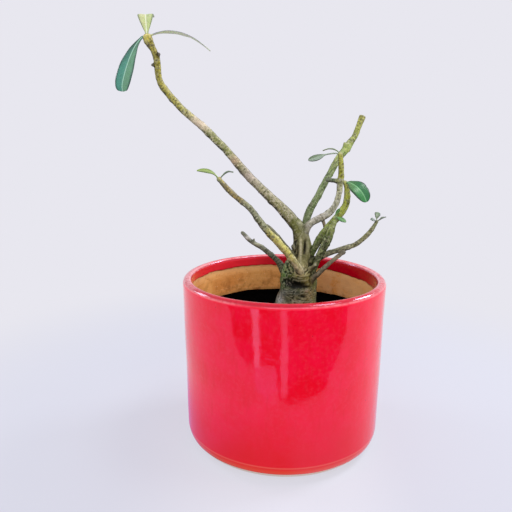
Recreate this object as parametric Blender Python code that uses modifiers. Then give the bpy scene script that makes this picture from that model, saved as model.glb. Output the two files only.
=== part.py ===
"""A potted desert rose: a red glazed clay pot, soil, one pruned plant with a swollen foot, and its leaves.

Run with: blender --background --python part.py
Blender units are metres, +Z up. The origin is the centre of the pot's flat underside, and -Y is the front.
Lengths below are in millimetres and become metres through MM.
"""

import math
from typing import NamedTuple

import bmesh
import bpy
from mathutils import Vector, noise

MM = 0.001
GAP = 0.3  # clearance between neighbouring pieces
WELD = 0.01  # points closer than this are one

# Pot
POT_HEIGHT = 118.0
RIM_RADIUS = 70.0
WALL = 6.0
HEEL_RADIUS = 68.2  # outside radius where the straight wall ends
HEEL_HEIGHT = 13.0
FOOT_RADIUS = 56.0  # flat underside
HEEL_STEP = 0.4  # edge where the glaze thins over the heel
RIM_ROUND_OUTSIDE = 3.4
RIM_ROUND_INSIDE = 2.4
GLAZE_DEPTH = 9.0  # how far the glaze runs down inside the rim
GLAZE_THICKNESS = 0.4
FLOOR = 9.0
INNER_CORNER = 8.0
INNER_FOOT_RADIUS = 61.0
POT_STEPS = 48
DRAIN_HOLES = 3
DRAIN_RADIUS = 4.5
DRAIN_CIRCLE = 30.0
DRAIN_STEPS = 16

# Soil
SOIL_LEVEL = 90.0
SOIL_RELIEF = 0.9
SOIL_LUMP = 9.0  # distance over which the surface rises and falls
SOIL_RINGS = 7
SOIL_STEPS = 36
SOIL_HOLE_RISE = 12.0  # how far the cutter of the root's hole stands above the soil

# Plant
STEM_SIDES_RESOLUTION = 2  # eight sides
FOOT_SIDES_RESOLUTION = 8  # twenty sides
STEM_SPACING = 5.0
SCAR_SPACING = 8.0
SCAR_RADIUS = 1.0
SCAR_SINK = 0.25
BUD_SWELL = 0.2  # how much wider a leafy shoot's end bud is than the shoot
GOLDEN_ANGLE = math.radians(137.5)
RIBS = 5
RIB_START = 95.0  # above this height the foot is ribbed, below it is round
RIB_FULL = 112.0
RIB_DEPTH = 0.07  # of the foot's radius
RIB_TWIST = 0.06  # radians for each millimetre of height
FOOT_AXIS = 10.5  # the ribs' centre on X

# Leaves
BLADE = 0.8  # thickness

# The swollen foot, from the root's tip to the crown: x, y, z, radius
FOOT_ROUTE = [
    (8, 0, 50, 4.5), (8, 0, 62, 8.5), (8, 0, 78, 13), (8.5, 0, 90, 15), (9, 0, 98, 14.4),
    (9.8, 0, 107, 12.9), (10, 0, 116, 12.6), (10.2, 0, 123, 11.2), (11.2, 0, 128, 8.8),
    (12.1, 0, 133, 6.8), (12.4, 0, 139, 6.2), (12.2, 0, 145, 5.2), (11.8, 0, 150, 4.0),
]

# Branches, from inside the foot to the tip: x, y, z, radius
BRANCHES = {
    "long_left": [
        (11.5, 0, 140, 4.6), (9.5, 0, 151.5, 4.6), (3, 1, 158.2, 4.2), (-5.2, 3, 165.6, 3.8),
        (-14, 5, 174.2, 3.3), (-34, 9, 194.8, 2.9), (-54, 12, 215, 2.6), (-75, 13, 234, 2.4),
        (-82, 12, 242, 2.3), (-85.5, 11, 250, 2.2), (-86.2, 10, 261, 2.2), (-88, 9, 268, 2.2),
        (-90, 8, 271.6, 2.8), (-91, 8, 274.6, 2.5),
    ],
    "tall_back": [
        (12, 1, 141, 3.6), (17, 8, 160, 3.0), (23, 12, 172, 2.8), (36, 22, 195, 2.7),
        (42.6, 26.5, 203.5, 3.0), (45.8, 29, 208.2, 2.6), (49, 31, 212.3, 2.2), (51.4, 32.5, 218.8, 2.2),
        (54.3, 34, 226.4, 2.4),
    ],
    "fork_right": [
        (12, -1, 143, 3.4), (16.5, -1, 153.5, 3.0), (23, 0, 157.5, 2.7), (29, 1, 162, 2.6),
        (34.5, 2.5, 169, 2.3), (36, 3, 177, 2.1), (37, 3, 183, 2.3), (37.5, 3, 188, 1.9),
        (36.5, 2, 198, 1.7), (36.3, 2, 200.5, 1.5),
    ],
    "hooked_right": [
        (12, -1, 128, 3.2), (16, -4, 137, 3.1), (22.5, -7, 146.5, 2.9), (31, -10, 157.5, 2.6),
        (38.5, -11, 165, 2.5), (40.5, -11, 172, 2.4), (40, -11, 180, 1.9), (38.7, -11, 183.5, 1.6),
    ],
    "sprig_right": [
        (13, -4, 123, 3.6), (17, -8, 129.5, 3.4), (24.5, -15, 141.5, 2.9), (30.5, -18, 152.5, 2.5),
        (32, -18, 159, 1.9), (32.2, -18, 161.3, 1.5),
    ],
    "low_right": [
        (12, -2, 121, 3.6), (17, -3, 126, 3.3), (27, -5, 133, 2.7), (39.5, -7, 138, 2.4),
        (51, -9, 145, 2.0), (58, -10, 153.5, 1.7), (60.4, -10, 158, 1.2),
    ],
    "stub_right": [(11, -2, 104, 3.4), (17.5, -8, 114.5, 3.4), (22.5, -12, 121, 2.5), (32, -16, 132, 2.0),
                   (39, -16, 138, 2.1)],
    "curved_left": [
        (12, -3, 110, 3.0), (11.5, -11.5, 118.5, 3.6), (10, -14.4, 124.5, 3.4), (5.7, -17, 133, 3.0),
        (-4, -21, 145, 2.7), (-12.6, -25, 155.5, 2.4),
        (-21.5, -29, 168, 1.9), (-32.5, -33, 178, 1.8), (-40.3, -35, 186.6, 1.5),
    ],
    "twig_behind": [(10, -2, 127, 2.6), (4, -5, 135.5, 2.0), (-7, -9, 149.5, 1.7), (-11.5, -10, 154, 1.4)],
    "low_left": [
        (6, 2, 112, 4.6), (-0.5, 5, 121, 3.2), (-5, 7, 127, 2.3), (-16, 11, 135, 1.8),
        (-24, 14, 139, 1.6), (-30, 16, 144.5, 1.3),
    ],
    "snag_front": [(15, -4, 120, 2.8), (19, -8, 126, 2.0), (23.8, -12, 129.8, 1.7)],
    "snag_left": [(10, -2, 135, 2.4), (5.4, -3, 139.8, 1.3)],
    "snag_hanging": [(24, 0.5, 159, 1.6), (26, 1.5, 155, 1.3), (27.2, 2, 150.6, 1.0)],
    "snag_link": [(36.5, 3, 182.5, 1.4), (32.2, 4.2, 183.4, 1.0)],
    "snag_thorn": [(-22, 13, 137, 1.0), (-21.4, 13.2, 140.6, 0.7)],
    "bud_right": [(-86, 10, 264, 1.2), (-83, 9, 265.4, 0.9)],
    "bud_left": [(-87, 10, 257, 1.0), (-89.9, 9, 258, 0.8)],
    "shoulder_back": [(42, 26, 203.5, 2.2), (42.6, 26, 208, 2.0)],
}
SCARRED = [
    "long_left", "tall_back", "fork_right", "hooked_right", "sprig_right", "low_right", "curved_left",
    "low_left",
]



class Leaf(NamedTuple):
    branch: str  # whose tip carries it
    width: float
    widest: float  # share of the length at which it is that wide
    stalk: float  # share of the length that is stalk
    fold: float  # degrees by which each half rises from the midrib
    face: tuple  # the way its upper side looks
    midrib: list  # x, y, z, from just off the branch's tip


LEAVES = {
    "leaf_long_hanging": Leaf(
        "long_left", 11.8, 0.66, 0.18, 10, (-0.15, -1, 0.25),
        [
            (-95.6, 6.5, 275), (-99.8, 4, 268.7), (-102.3, 2, 262.3), (-105.4, 0, 253.2), (-108.2, -1, 245),
            (-108.2, -0.5, 240.8),
        ],
    ),
    "leaf_long_upright": Leaf(
        "long_left", 10.5, 0.62, 0.12, 12, (0, -1, 0.6),
        [(-92.2, 10, 280.3), (-93.4, 14.5, 286.5), (-94.4, 20, 290.6), (-94.6, 26.5, 291.6), (-94, 32, 290)],
    ),
    "leaf_long_arching": Leaf(
        "long_left", 9.0, 0.52, 0.16, 14, (0.08, -0.05, 1),
        [
            (-88.2, 7.6, 277), (-83.4, 7, 277.4), (-77.4, 6.5, 277.3), (-71.6, 5.5, 276.8), (-62.7, 4, 274.6),
            (-54.5, 3, 269.8), (-49.2, 1, 265.6),
        ],
    ),
    "leaf_curved_long": Leaf(
        "curved_left", 4.6, 0.55, 0.2, 12, (0.1, -0.5, 1),
        [(-42, -36, 189.2), (-44.8, -37, 191.1), (-49, -38, 192.1), (-53.2, -39, 192.2)],
    ),
    "leaf_curved_short": Leaf(
        "curved_left", 2.2, 0.6, 0.25, 12, (0, -0.25, 1),
        [(-38.2, -34.2, 189), (-36.5, -33.3, 190.4), (-34.3, -32.4, 191.3), (-31.8, -31, 190.9)],
    ),
    "leaf_fork_spoon": Leaf(
        "fork_right", 5.0, 0.78, 0.45, 8, (-0.1, -1, 0.7),
        [(33.4, 1.8, 201.4), (27.4, 0, 200.8), (21.5, -3, 199), (15, -6, 197)],
    ),
    "leaf_fork_narrow": Leaf(
        "fork_right", 2.0, 0.5, 0.25, 12, (0, -0.3, 1),
        [(34.6, 3.8, 202.8), (31.8, 6, 204), (28.6, 9, 204), (25.2, 11, 202.8)],
    ),
    "leaf_round": Leaf(
        "hooked_right", 11.2, 0.6, 0.1, 8, (0.35, -1, 0.6),
        [(41.2, -13.6, 184), (45.5, -18, 180.7), (49.9, -20.5, 176.1), (51.7, -21.5, 172.2)],
    ),
    "leaf_sprig_side": Leaf(
        "sprig_right", 3.6, 0.65, 0.2, 8, (0, -0.7, 1),
        [(33.6, -20.2, 162), (35.6, -22.4, 161.2), (39, -24, 159.5)],
    ),
    "leaf_sprig_up": Leaf(
        "sprig_right", 2.4, 0.6, 0.2, 8, (0.5, -1, 0),
        [(32.9, -17.6, 163.4), (34, -17.6, 165.2), (35.5, -17.8, 167.4)],
    ),
    "leaf_low_fan": Leaf(
        "low_right", 3.8, 0.7, 0.2, 10, (0, -1, 0.6),
        [(60.6, -9, 160.2), (61.1, -7.6, 161.6), (61.8, -5, 163.2)],
    ),
    "leaf_low_point": Leaf(
        "low_right", 1.8, 0.5, 0.2, 10, (0, -0.4, 1),
        [(62.2, -10.4, 159.2), (63.8, -10.6, 160.4), (66.4, -10.4, 161.1)],
    ),
    "leaf_low_left": Leaf(
        "low_right", 2.6, 0.65, 0.2, 8, (0, -0.8, 1),
        [(59, -11.4, 158.8), (57.9, -12, 159.4), (56, -12.8, 159.8)],
    ),
}
LARGE_LEAF = 15.0  # longer leaves get more faces
STALK_WIDTH = 0.14  # of the leaf's width
TIP_WIDTH = 0.1


def material(name, colour, roughness):
    """A plain Principled material of one colour."""
    made = bpy.data.materials.new(name)
    made.use_nodes = True
    shader = made.node_tree.nodes["Principled BSDF"]
    shader.inputs["Base Color"].default_value = (*colour, 1)
    shader.inputs["Roughness"].default_value = roughness
    shader.inputs["Metallic"].default_value = 0
    return made


def new_collection(name):
    made = bpy.data.collections.new(name)
    bpy.context.scene.collection.children.link(made)
    return made


def place(data, name, collection):
    """A new object holding this mesh or curve."""
    obj = bpy.data.objects.new(name, data)
    collection.objects.link(obj)
    return obj


def as_mesh(obj):
    """Turns an object's curve or modifiers into the plain welded mesh that they make."""
    bpy.context.view_layer.update()
    graph = bpy.context.evaluated_depsgraph_get()
    mesh = bpy.data.meshes.new_from_object(obj.evaluated_get(graph))
    bm = bmesh.new()
    bm.from_mesh(mesh)
    bmesh.ops.remove_doubles(bm, verts=bm.verts, dist=WELD * MM)
    bmesh.ops.recalc_face_normals(bm, faces=bm.faces)
    bm.to_mesh(mesh)
    bm.free()
    name, collection = obj.name, obj.users_collection[0]
    bpy.data.objects.remove(obj)
    return place(mesh, name, collection)


def boolean(obj, operation, cutters):
    """Joins or cuts every object of a collection into obj, and removes them."""
    modifier = obj.modifiers.new(operation.lower(), "BOOLEAN")
    modifier.operation = operation
    modifier.operand_type = "COLLECTION"
    modifier.collection = cutters
    modifier.solver = "EXACT"
    obj = as_mesh(obj)
    for cutter in list(cutters.objects):
        bpy.data.objects.remove(cutter)
    return obj


def arc(centre, radius, start, end, steps):
    """Points on an arc in the X-Z plane, angles in degrees from +X."""
    angles = [math.radians(start + (end - start) * i / steps) for i in range(steps + 1)]
    return [(centre[0] + radius * math.cos(a), centre[1] + radius * math.sin(a)) for a in angles]


def turned(name, profile, steps, collection):
    """A solid of revolution about Z, from a profile of (radius, height) that ends down its outer side."""
    mesh = bpy.data.meshes.new(name)
    edges = [(i, i + 1) for i in range(len(profile) - 1)]
    mesh.from_pydata([(r * MM, 0, z * MM) for r, z in profile], edges, [])
    obj = place(mesh, name, collection)
    screw = obj.modifiers.new("turn", "SCREW")
    screw.steps = screw.render_steps = steps
    screw.use_merge_vertices = True
    screw.merge_threshold = WELD * MM
    return obj


def inner_wall(height):
    """Radius of the bare clay inside the pot at this height."""
    top = RIM_RADIUS - WALL + GLAZE_THICKNESS
    share = (height - FLOOR) / (POT_HEIGHT - FLOOR)
    return INNER_FOOT_RADIUS + (top - INNER_FOOT_RADIUS) * share


def cavity(clearance, top):
    """The inside's profile from the middle of the floor up to a height, drawn in by a clearance."""
    corner = INNER_CORNER - clearance
    centre = (inner_wall(FLOOR + INNER_CORNER) - INNER_CORNER, FLOOR + INNER_CORNER)
    return [(0, FLOOR + clearance), *arc(centre, corner, -90, 0, 4), (inner_wall(top) - clearance, top)]


def make_pot(collection, cutters):
    glaze_end = POT_HEIGHT - GLAZE_DEPTH
    lip = RIM_RADIUS - WALL
    inner, outer = RIM_ROUND_INSIDE, RIM_ROUND_OUTSIDE
    heel = HEEL_RADIUS - HEEL_STEP - FOOT_RADIUS
    profile = cavity(0, glaze_end)
    profile += [(lip, glaze_end + GLAZE_THICKNESS)]
    profile += arc((lip + inner, POT_HEIGHT - inner), inner, 180, 90, 3)
    profile += arc((RIM_RADIUS - outer, POT_HEIGHT - outer), outer, 90, 0, 4)
    profile += [(HEEL_RADIUS, HEEL_HEIGHT + HEEL_STEP)]
    profile += [
        (FOOT_RADIUS + heel * along, HEEL_HEIGHT * (1 - up)) for along, up in arc((0, 0), 1, 0, 90, 4)
    ]
    profile += [(0, 0)]
    pot = as_mesh(turned("pot", profile, POT_STEPS, collection))
    for i in range(DRAIN_HOLES):
        angle = 2 * math.pi * i / DRAIN_HOLES + math.pi / 2
        x, y = DRAIN_CIRCLE * math.cos(angle), DRAIN_CIRCLE * math.sin(angle)
        bpy.ops.mesh.primitive_cylinder_add(
            vertices=DRAIN_STEPS,
            radius=DRAIN_RADIUS * MM,
            depth=4 * FLOOR * MM,
            location=(x * MM, y * MM, 0),
        )
        hole = bpy.context.object
        hole.users_collection[0].objects.unlink(hole)
        cutters.objects.link(hole)
    return boolean(pot, "DIFFERENCE", cutters)


def soil_rise(x, y):
    """How far the crumbly surface stands above or below the soil's level here."""
    return SOIL_RELIEF * noise.noise(Vector((x / SOIL_LUMP, y / SOIL_LUMP, 0.5)))


def make_soil(collection, cutters):
    edge = inner_wall(SOIL_LEVEL) - GAP
    profile = cavity(GAP, SOIL_LEVEL)
    profile += [(edge * (1 - i / SOIL_RINGS), SOIL_LEVEL) for i in range(1, SOIL_RINGS)]
    profile += [(0, SOIL_LEVEL)]
    # This profile runs up its outer side, and as_mesh turns its faces out.
    soil = as_mesh(turned("soil", profile, SOIL_STEPS, collection))
    for vertex in soil.data.vertices:
        x, y, z = vertex.co / MM
        if z > SOIL_LEVEL - WELD and math.hypot(x, y) < edge - WELD:
            vertex.co.z = (SOIL_LEVEL + soil_rise(x, y)) * MM
    buried = [(x, y, z, radius + GAP) for x, y, z, radius in FOOT_ROUTE if z <= SOIL_LEVEL]
    x, y, z, radius = buried[0]
    bottom = (x, y, z - GAP, radius)
    x, y, z, radius = buried[-1]
    top = (x, y, z + SOIL_HOLE_RISE, radius)
    as_mesh(stem("soil_hole", [bottom, *buried[1:], top], FOOT_SIDES_RESOLUTION, cutters))
    return boolean(soil, "DIFFERENCE", cutters)


def smooth_route(route, spacing):
    """Points of a Catmull-Rom curve through a route of (x, y, z, radius), about this far apart."""
    points = [Vector(point) for point in route]
    points = [2 * points[0] - points[1], *points, 2 * points[-1] - points[-2]]
    made = []
    for before, start, end, after in zip(points, points[1:], points[2:], points[3:]):
        pieces = max(1, round((end.xyz - start.xyz).length / spacing))
        for t in [i / pieces for i in range(pieces)]:
            bend = 2 * before - 5 * start + 4 * end - after
            twist = 3 * start - before - 3 * end + after
            made.append(start + (t * (end - before) + t**2 * bend + t**3 * twist) / 2)
    return made + [points[-2]]


def stem(name, route, resolution, collection):
    """A tube of varying radius along a smooth route, as a curve object."""
    curve = bpy.data.curves.new(name, "CURVE")
    curve.dimensions = "3D"
    curve.bevel_depth = MM
    curve.bevel_resolution = resolution
    curve.use_fill_caps = True
    points = smooth_route(route, STEM_SPACING)
    spline = curve.splines.new("POLY")
    spline.points.add(len(points) - 1)
    for point, (x, y, z, radius) in zip(spline.points, points):
        point.co = (x * MM, y * MM, z * MM, 1)
        point.radius = radius
    return place(curve, name, collection)


def rib_the_foot(foot):
    """Raises soft ribs on the foot above the soil, by a formula of height and angle."""
    for vertex in foot.data.vertices:
        x, y, z = vertex.co / MM
        full = min(1, max(0, (z - RIB_START) / (RIB_FULL - RIB_START)))
        angle = math.atan2(y, x - FOOT_AXIS)
        scale = 1 + RIB_DEPTH * full * math.cos(RIBS * angle + RIB_TWIST * z)
        vertex.co.x = (FOOT_AXIS + (x - FOOT_AXIS) * scale) * MM
        vertex.co.y = y * scale * MM


def bud(branch):
    """The centre and radius of the round bud that ends a branch which still bears leaves."""
    x, y, z, radius = BRANCHES[branch][-1]
    return Vector((x, y, z)), radius + BUD_SWELL


def add_knob(centre, radius, roundness, collection):
    """A small ball with few faces."""
    bm = bmesh.new()
    bmesh.ops.create_icosphere(bm, subdivisions=roundness, radius=radius * MM)
    bmesh.ops.translate(bm, verts=bm.verts, vec=centre * MM)
    mesh = bpy.data.meshes.new("knob")
    bm.to_mesh(mesh)
    bm.free()
    place(mesh, "knob", collection)


def add_scars(route, collection):
    """Knobs where leaves have dropped, in a spiral along a branch."""
    points = smooth_route(route, SCAR_SPACING)
    for i in range(3, len(points) - 2):
        along = (points[i + 1].xyz - points[i - 1].xyz).normalized()
        side = along.orthogonal().normalized()
        out = math.cos(i * GOLDEN_ANGLE) * side + math.sin(i * GOLDEN_ANGLE) * along.cross(side)
        add_knob(points[i].xyz + out * (points[i].w - SCAR_SINK), SCAR_RADIUS, 1, collection)


def make_plant(collection, repeats):
    foot = as_mesh(stem("caudex_and_branches", FOOT_ROUTE, FOOT_SIDES_RESOLUTION, collection))
    rib_the_foot(foot)
    for name, route in BRANCHES.items():
        as_mesh(stem(name, route, STEM_SIDES_RESOLUTION, repeats))
        if name in SCARRED:
            add_scars(route, repeats)
    for branch in sorted({leaf.branch for leaf in LEAVES.values()}):
        add_knob(*bud(branch), 2, repeats)
    return boolean(foot, "UNION", repeats)


def outline(share, stalk, widest):
    """A leaf's width at a share of its length, as a share of its greatest width."""
    if share <= stalk:
        return STALK_WIDTH
    if share < widest:
        return max(STALK_WIDTH, math.sin(math.pi / 2 * (share - stalk) / (widest - stalk)) ** 1.25)
    rest = max(0, math.cos(math.pi / 2 * (share - widest) / (1 - widest)))
    return max(TIP_WIDTH, rest**0.6)


def make_leaf(name, leaf, collection):
    """A thin arched blade, folded along its midrib, whose stalk starts just clear of its branch's tip."""
    tip, radius = bud(leaf.branch)
    root = tip + (Vector(leaf.midrib[0]) - tip).normalized() * (radius + GAP)
    route = [(*root, 0), *[(*point, 0) for point in leaf.midrib]]
    length = sum((Vector(b[:3]) - Vector(a[:3])).length for a, b in zip(route, route[1:]))
    rows, columns = (12, 4) if length > LARGE_LEAF else (6, 2)
    line = smooth_route(route, length / rows)
    bm = bmesh.new()
    bmesh.ops.create_grid(bm, x_segments=columns, y_segments=len(line) - 1, size=0.5)
    fold = math.radians(leaf.fold)
    last = len(line) - 1
    for vertex in bm.verts:
        across = 2 * vertex.co.x
        i = round((vertex.co.y + 0.5) * last)
        along = (line[min(i + 1, last)].xyz - line[max(i - 1, 0)].xyz).normalized()
        right = along.cross(Vector(leaf.face)).normalized()
        up = right.cross(along)
        half = leaf.width / 2 * outline(i / last, leaf.stalk, leaf.widest)
        spread = right * across * half * math.cos(fold) + up * abs(across) * half * math.sin(fold)
        vertex.co = (line[i].xyz + spread) * MM
    bmesh.ops.triangulate(bm, faces=bm.faces)
    mesh = bpy.data.meshes.new(name)
    bm.to_mesh(mesh)
    bm.free()
    blade = place(mesh, name, collection)
    thick = blade.modifiers.new("thickness", "SOLIDIFY")
    thick.thickness = BLADE * MM
    thick.offset = 0
    return as_mesh(blade)


def finish(obj, look):
    obj.data.materials.clear()
    obj.data.materials.append(look)
    obj.data.shade_smooth()
    obj.data.set_sharp_from_angle(angle=math.radians(40))


def main():
    for obj in list(bpy.data.objects):
        bpy.data.objects.remove(obj)
    part = new_collection("potted_desert_rose")
    helpers = new_collection("helpers")

    finish(make_pot(part, helpers), material("red_glaze", (0.72, 0.012, 0.03), 0.15))
    finish(make_soil(part, helpers), material("dark_soil", (0.012, 0.010, 0.009), 0.95))
    finish(make_plant(part, helpers), material("grey_green_bark", (0.20, 0.20, 0.10), 0.7))
    green = material("leaf_green", (0.09, 0.24, 0.10), 0.4)
    for name, leaf in LEAVES.items():
        finish(make_leaf(name, leaf, part), green)
    bpy.data.collections.remove(helpers)


main()
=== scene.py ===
"""The finished look of a potted desert rose: a red glazed pot, its soil, a pruned plant and thirteen leaves.

Blender units are metres, +Z up. Lengths below are in millimetres and become metres through MM. The pot stands
on z = 0 about the Z axis, and -Y is its front. A colour is a paint code such as 9a9780.
"""

import math
import random
from typing import NamedTuple

import bmesh
import bpy
import numpy as np
from mathutils import Matrix, Vector, noise
from mathutils.kdtree import KDTree


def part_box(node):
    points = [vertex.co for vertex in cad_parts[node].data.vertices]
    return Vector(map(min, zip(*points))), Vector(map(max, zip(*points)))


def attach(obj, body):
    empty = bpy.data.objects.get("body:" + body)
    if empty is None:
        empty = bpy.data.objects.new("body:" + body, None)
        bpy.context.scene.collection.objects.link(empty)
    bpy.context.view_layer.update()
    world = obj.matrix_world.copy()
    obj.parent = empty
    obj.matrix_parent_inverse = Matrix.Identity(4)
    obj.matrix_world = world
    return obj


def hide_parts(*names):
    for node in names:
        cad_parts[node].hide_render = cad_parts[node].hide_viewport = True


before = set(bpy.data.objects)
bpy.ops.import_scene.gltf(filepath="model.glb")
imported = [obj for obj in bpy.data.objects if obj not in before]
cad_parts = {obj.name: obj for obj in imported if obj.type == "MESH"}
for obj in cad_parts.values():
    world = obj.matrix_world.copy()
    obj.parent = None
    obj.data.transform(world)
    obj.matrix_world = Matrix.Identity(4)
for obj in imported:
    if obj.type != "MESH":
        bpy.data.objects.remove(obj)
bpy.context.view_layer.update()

MM = 0.001
WELD = 0.01
SORTING_SLANT = (1, 2.7, 7.1)  # a slanting direction, along which points hardly ever tie
ROOT = "root"

# Pot
RIM_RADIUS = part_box("pot")[1].x / MM
POT_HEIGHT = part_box("pot")[1].z / MM
WALL = 6.0
HEEL_RADIUS = 68.2
HEEL_HEIGHT = 13.0
HEEL_EASE = 0.4  # how far above the round of the heel the straight wall ends
CLAY_HEEL_TURN = 82  # degrees round the heel at which the clay meets the foot
FOOT_RADIUS = 56.0
FOOT_RING = 4.0  # width of the flat ring that the pot stands on
HOLLOW = 0.8  # how far the underside is hollowed inside it
RIM_ROUND_OUTSIDE = 3.4
RIM_ROUND_INSIDE = 2.4
GLAZE_DEPTH = 9.0  # how far the glaze runs down inside the rim
GLAZE = 0.4  # its thickness
GLAZE_BACK = 0.25  # how far its hidden back is sunk into the clay
GLAZE_TILT = 1.5  # how much deeper it runs inside on the right than on the left
GLAZE_FOOT = 6.6  # height at which it ends over the foot
GLAZE_WAVE = 1.1  # how far its ends wander up and down
LIP_WANDER = 3.0  # how far below the rim its inner end starts to wander
FOOT_WANDER = 7.0  # height below which its outer end wanders
BROAD_WAVE = 0.28  # unevenness of the thrown wall
FINE_WAVE = 0.05
FLOOR = 9.0
INNER_CORNER = 8.0
INNER_FOOT_RADIUS = 61.0
POT_STEPS = 192
DRAIN_HOLES = 3
DRAIN_RADIUS = 4.5
DRAIN_CIRCLE = 30.0

# Soil
SOIL_LEVEL = 90.0
SOIL_GAP = 0.3  # between the soil and the pot's floor
SOIL_STEPS = 180
CRUMBS = 420
LARGE_CRUMBS = 0.08  # share of the crumbs that are twice as large

# Plant
GOLDEN_ANGLE = math.radians(137.5)  # from one leaf scar to the next round a branch
FOOT_AXIS = 10.5  # how far right of the pot's axis the foot's own axis stands
RIBS = 5
RIB_START = 95.0  # height at which the foot's ribs start
RIB_FULL = 112.0  # height from which they have their full depth
RIB_DEPTH = 0.07  # as a share of the foot's radius
RIB_TWIST = 0.06  # how far their wave turns, in radians for each millimetre of height
PAINTED_LIGHT_SIDE = np.array((0.35, -0.25, 0.9))  # where the painted light comes from: skin that faces it is painted a lilac grey highlight, skin that faces away is painted dark as shade
BUD_SWELL = 0.2  # how much larger in radius a bud is than the end of its branch
SCAR_SPACING = 8.0  # from one large leaf scar to the next along a branch
SCAR_SIZE = 1.3  # radius of a large one
SCAR_REACH = 3.0  # how far from its middle a scar still shapes the skin
SKIN_REACH = 9.0  # how far outside a branch its skin is looked for
BLEND = 1.1  # how far the tones of two branches blend where they meet
PATTERN_STEP = 40.0  # sets the bark patterns of the branches apart
FINE_FOLD = 0.14  # depth at which a fine fold is painted fully dark, as shade
WIDE_FOLD = 0.32  # the same for a wide one, from WIDE_START on
WIDE_START = 0.1
RIDGE = 0.10  # height of a ridge that gets the full painted highlight, as a share of the skin's faces
ROUND_END = [(0.5, 0.87), (0.8, 0.6), (0.95, 0.3)]  # how far past the end, how wide: shares of the radius
SKIN = 0.5  # size of the skin's faces

FOOT_ROUTE = [
    (8, 0, 50, 4.5), (8, 0, 62, 8.5), (8, 0, 78, 13), (8.5, 0, 90, 15), (9, 0, 98, 14.4),
    (9.8, 0, 107, 12.9), (10, 0, 116, 12.6), (10.2, 0, 123, 11.2), (11.2, 0, 128, 8.8),
    (12.1, 0, 133, 6.8), (12.4, 0, 139, 6.2), (12.2, 0, 145, 5.2), (11.8, 0, 150, 4.0),
]

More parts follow.
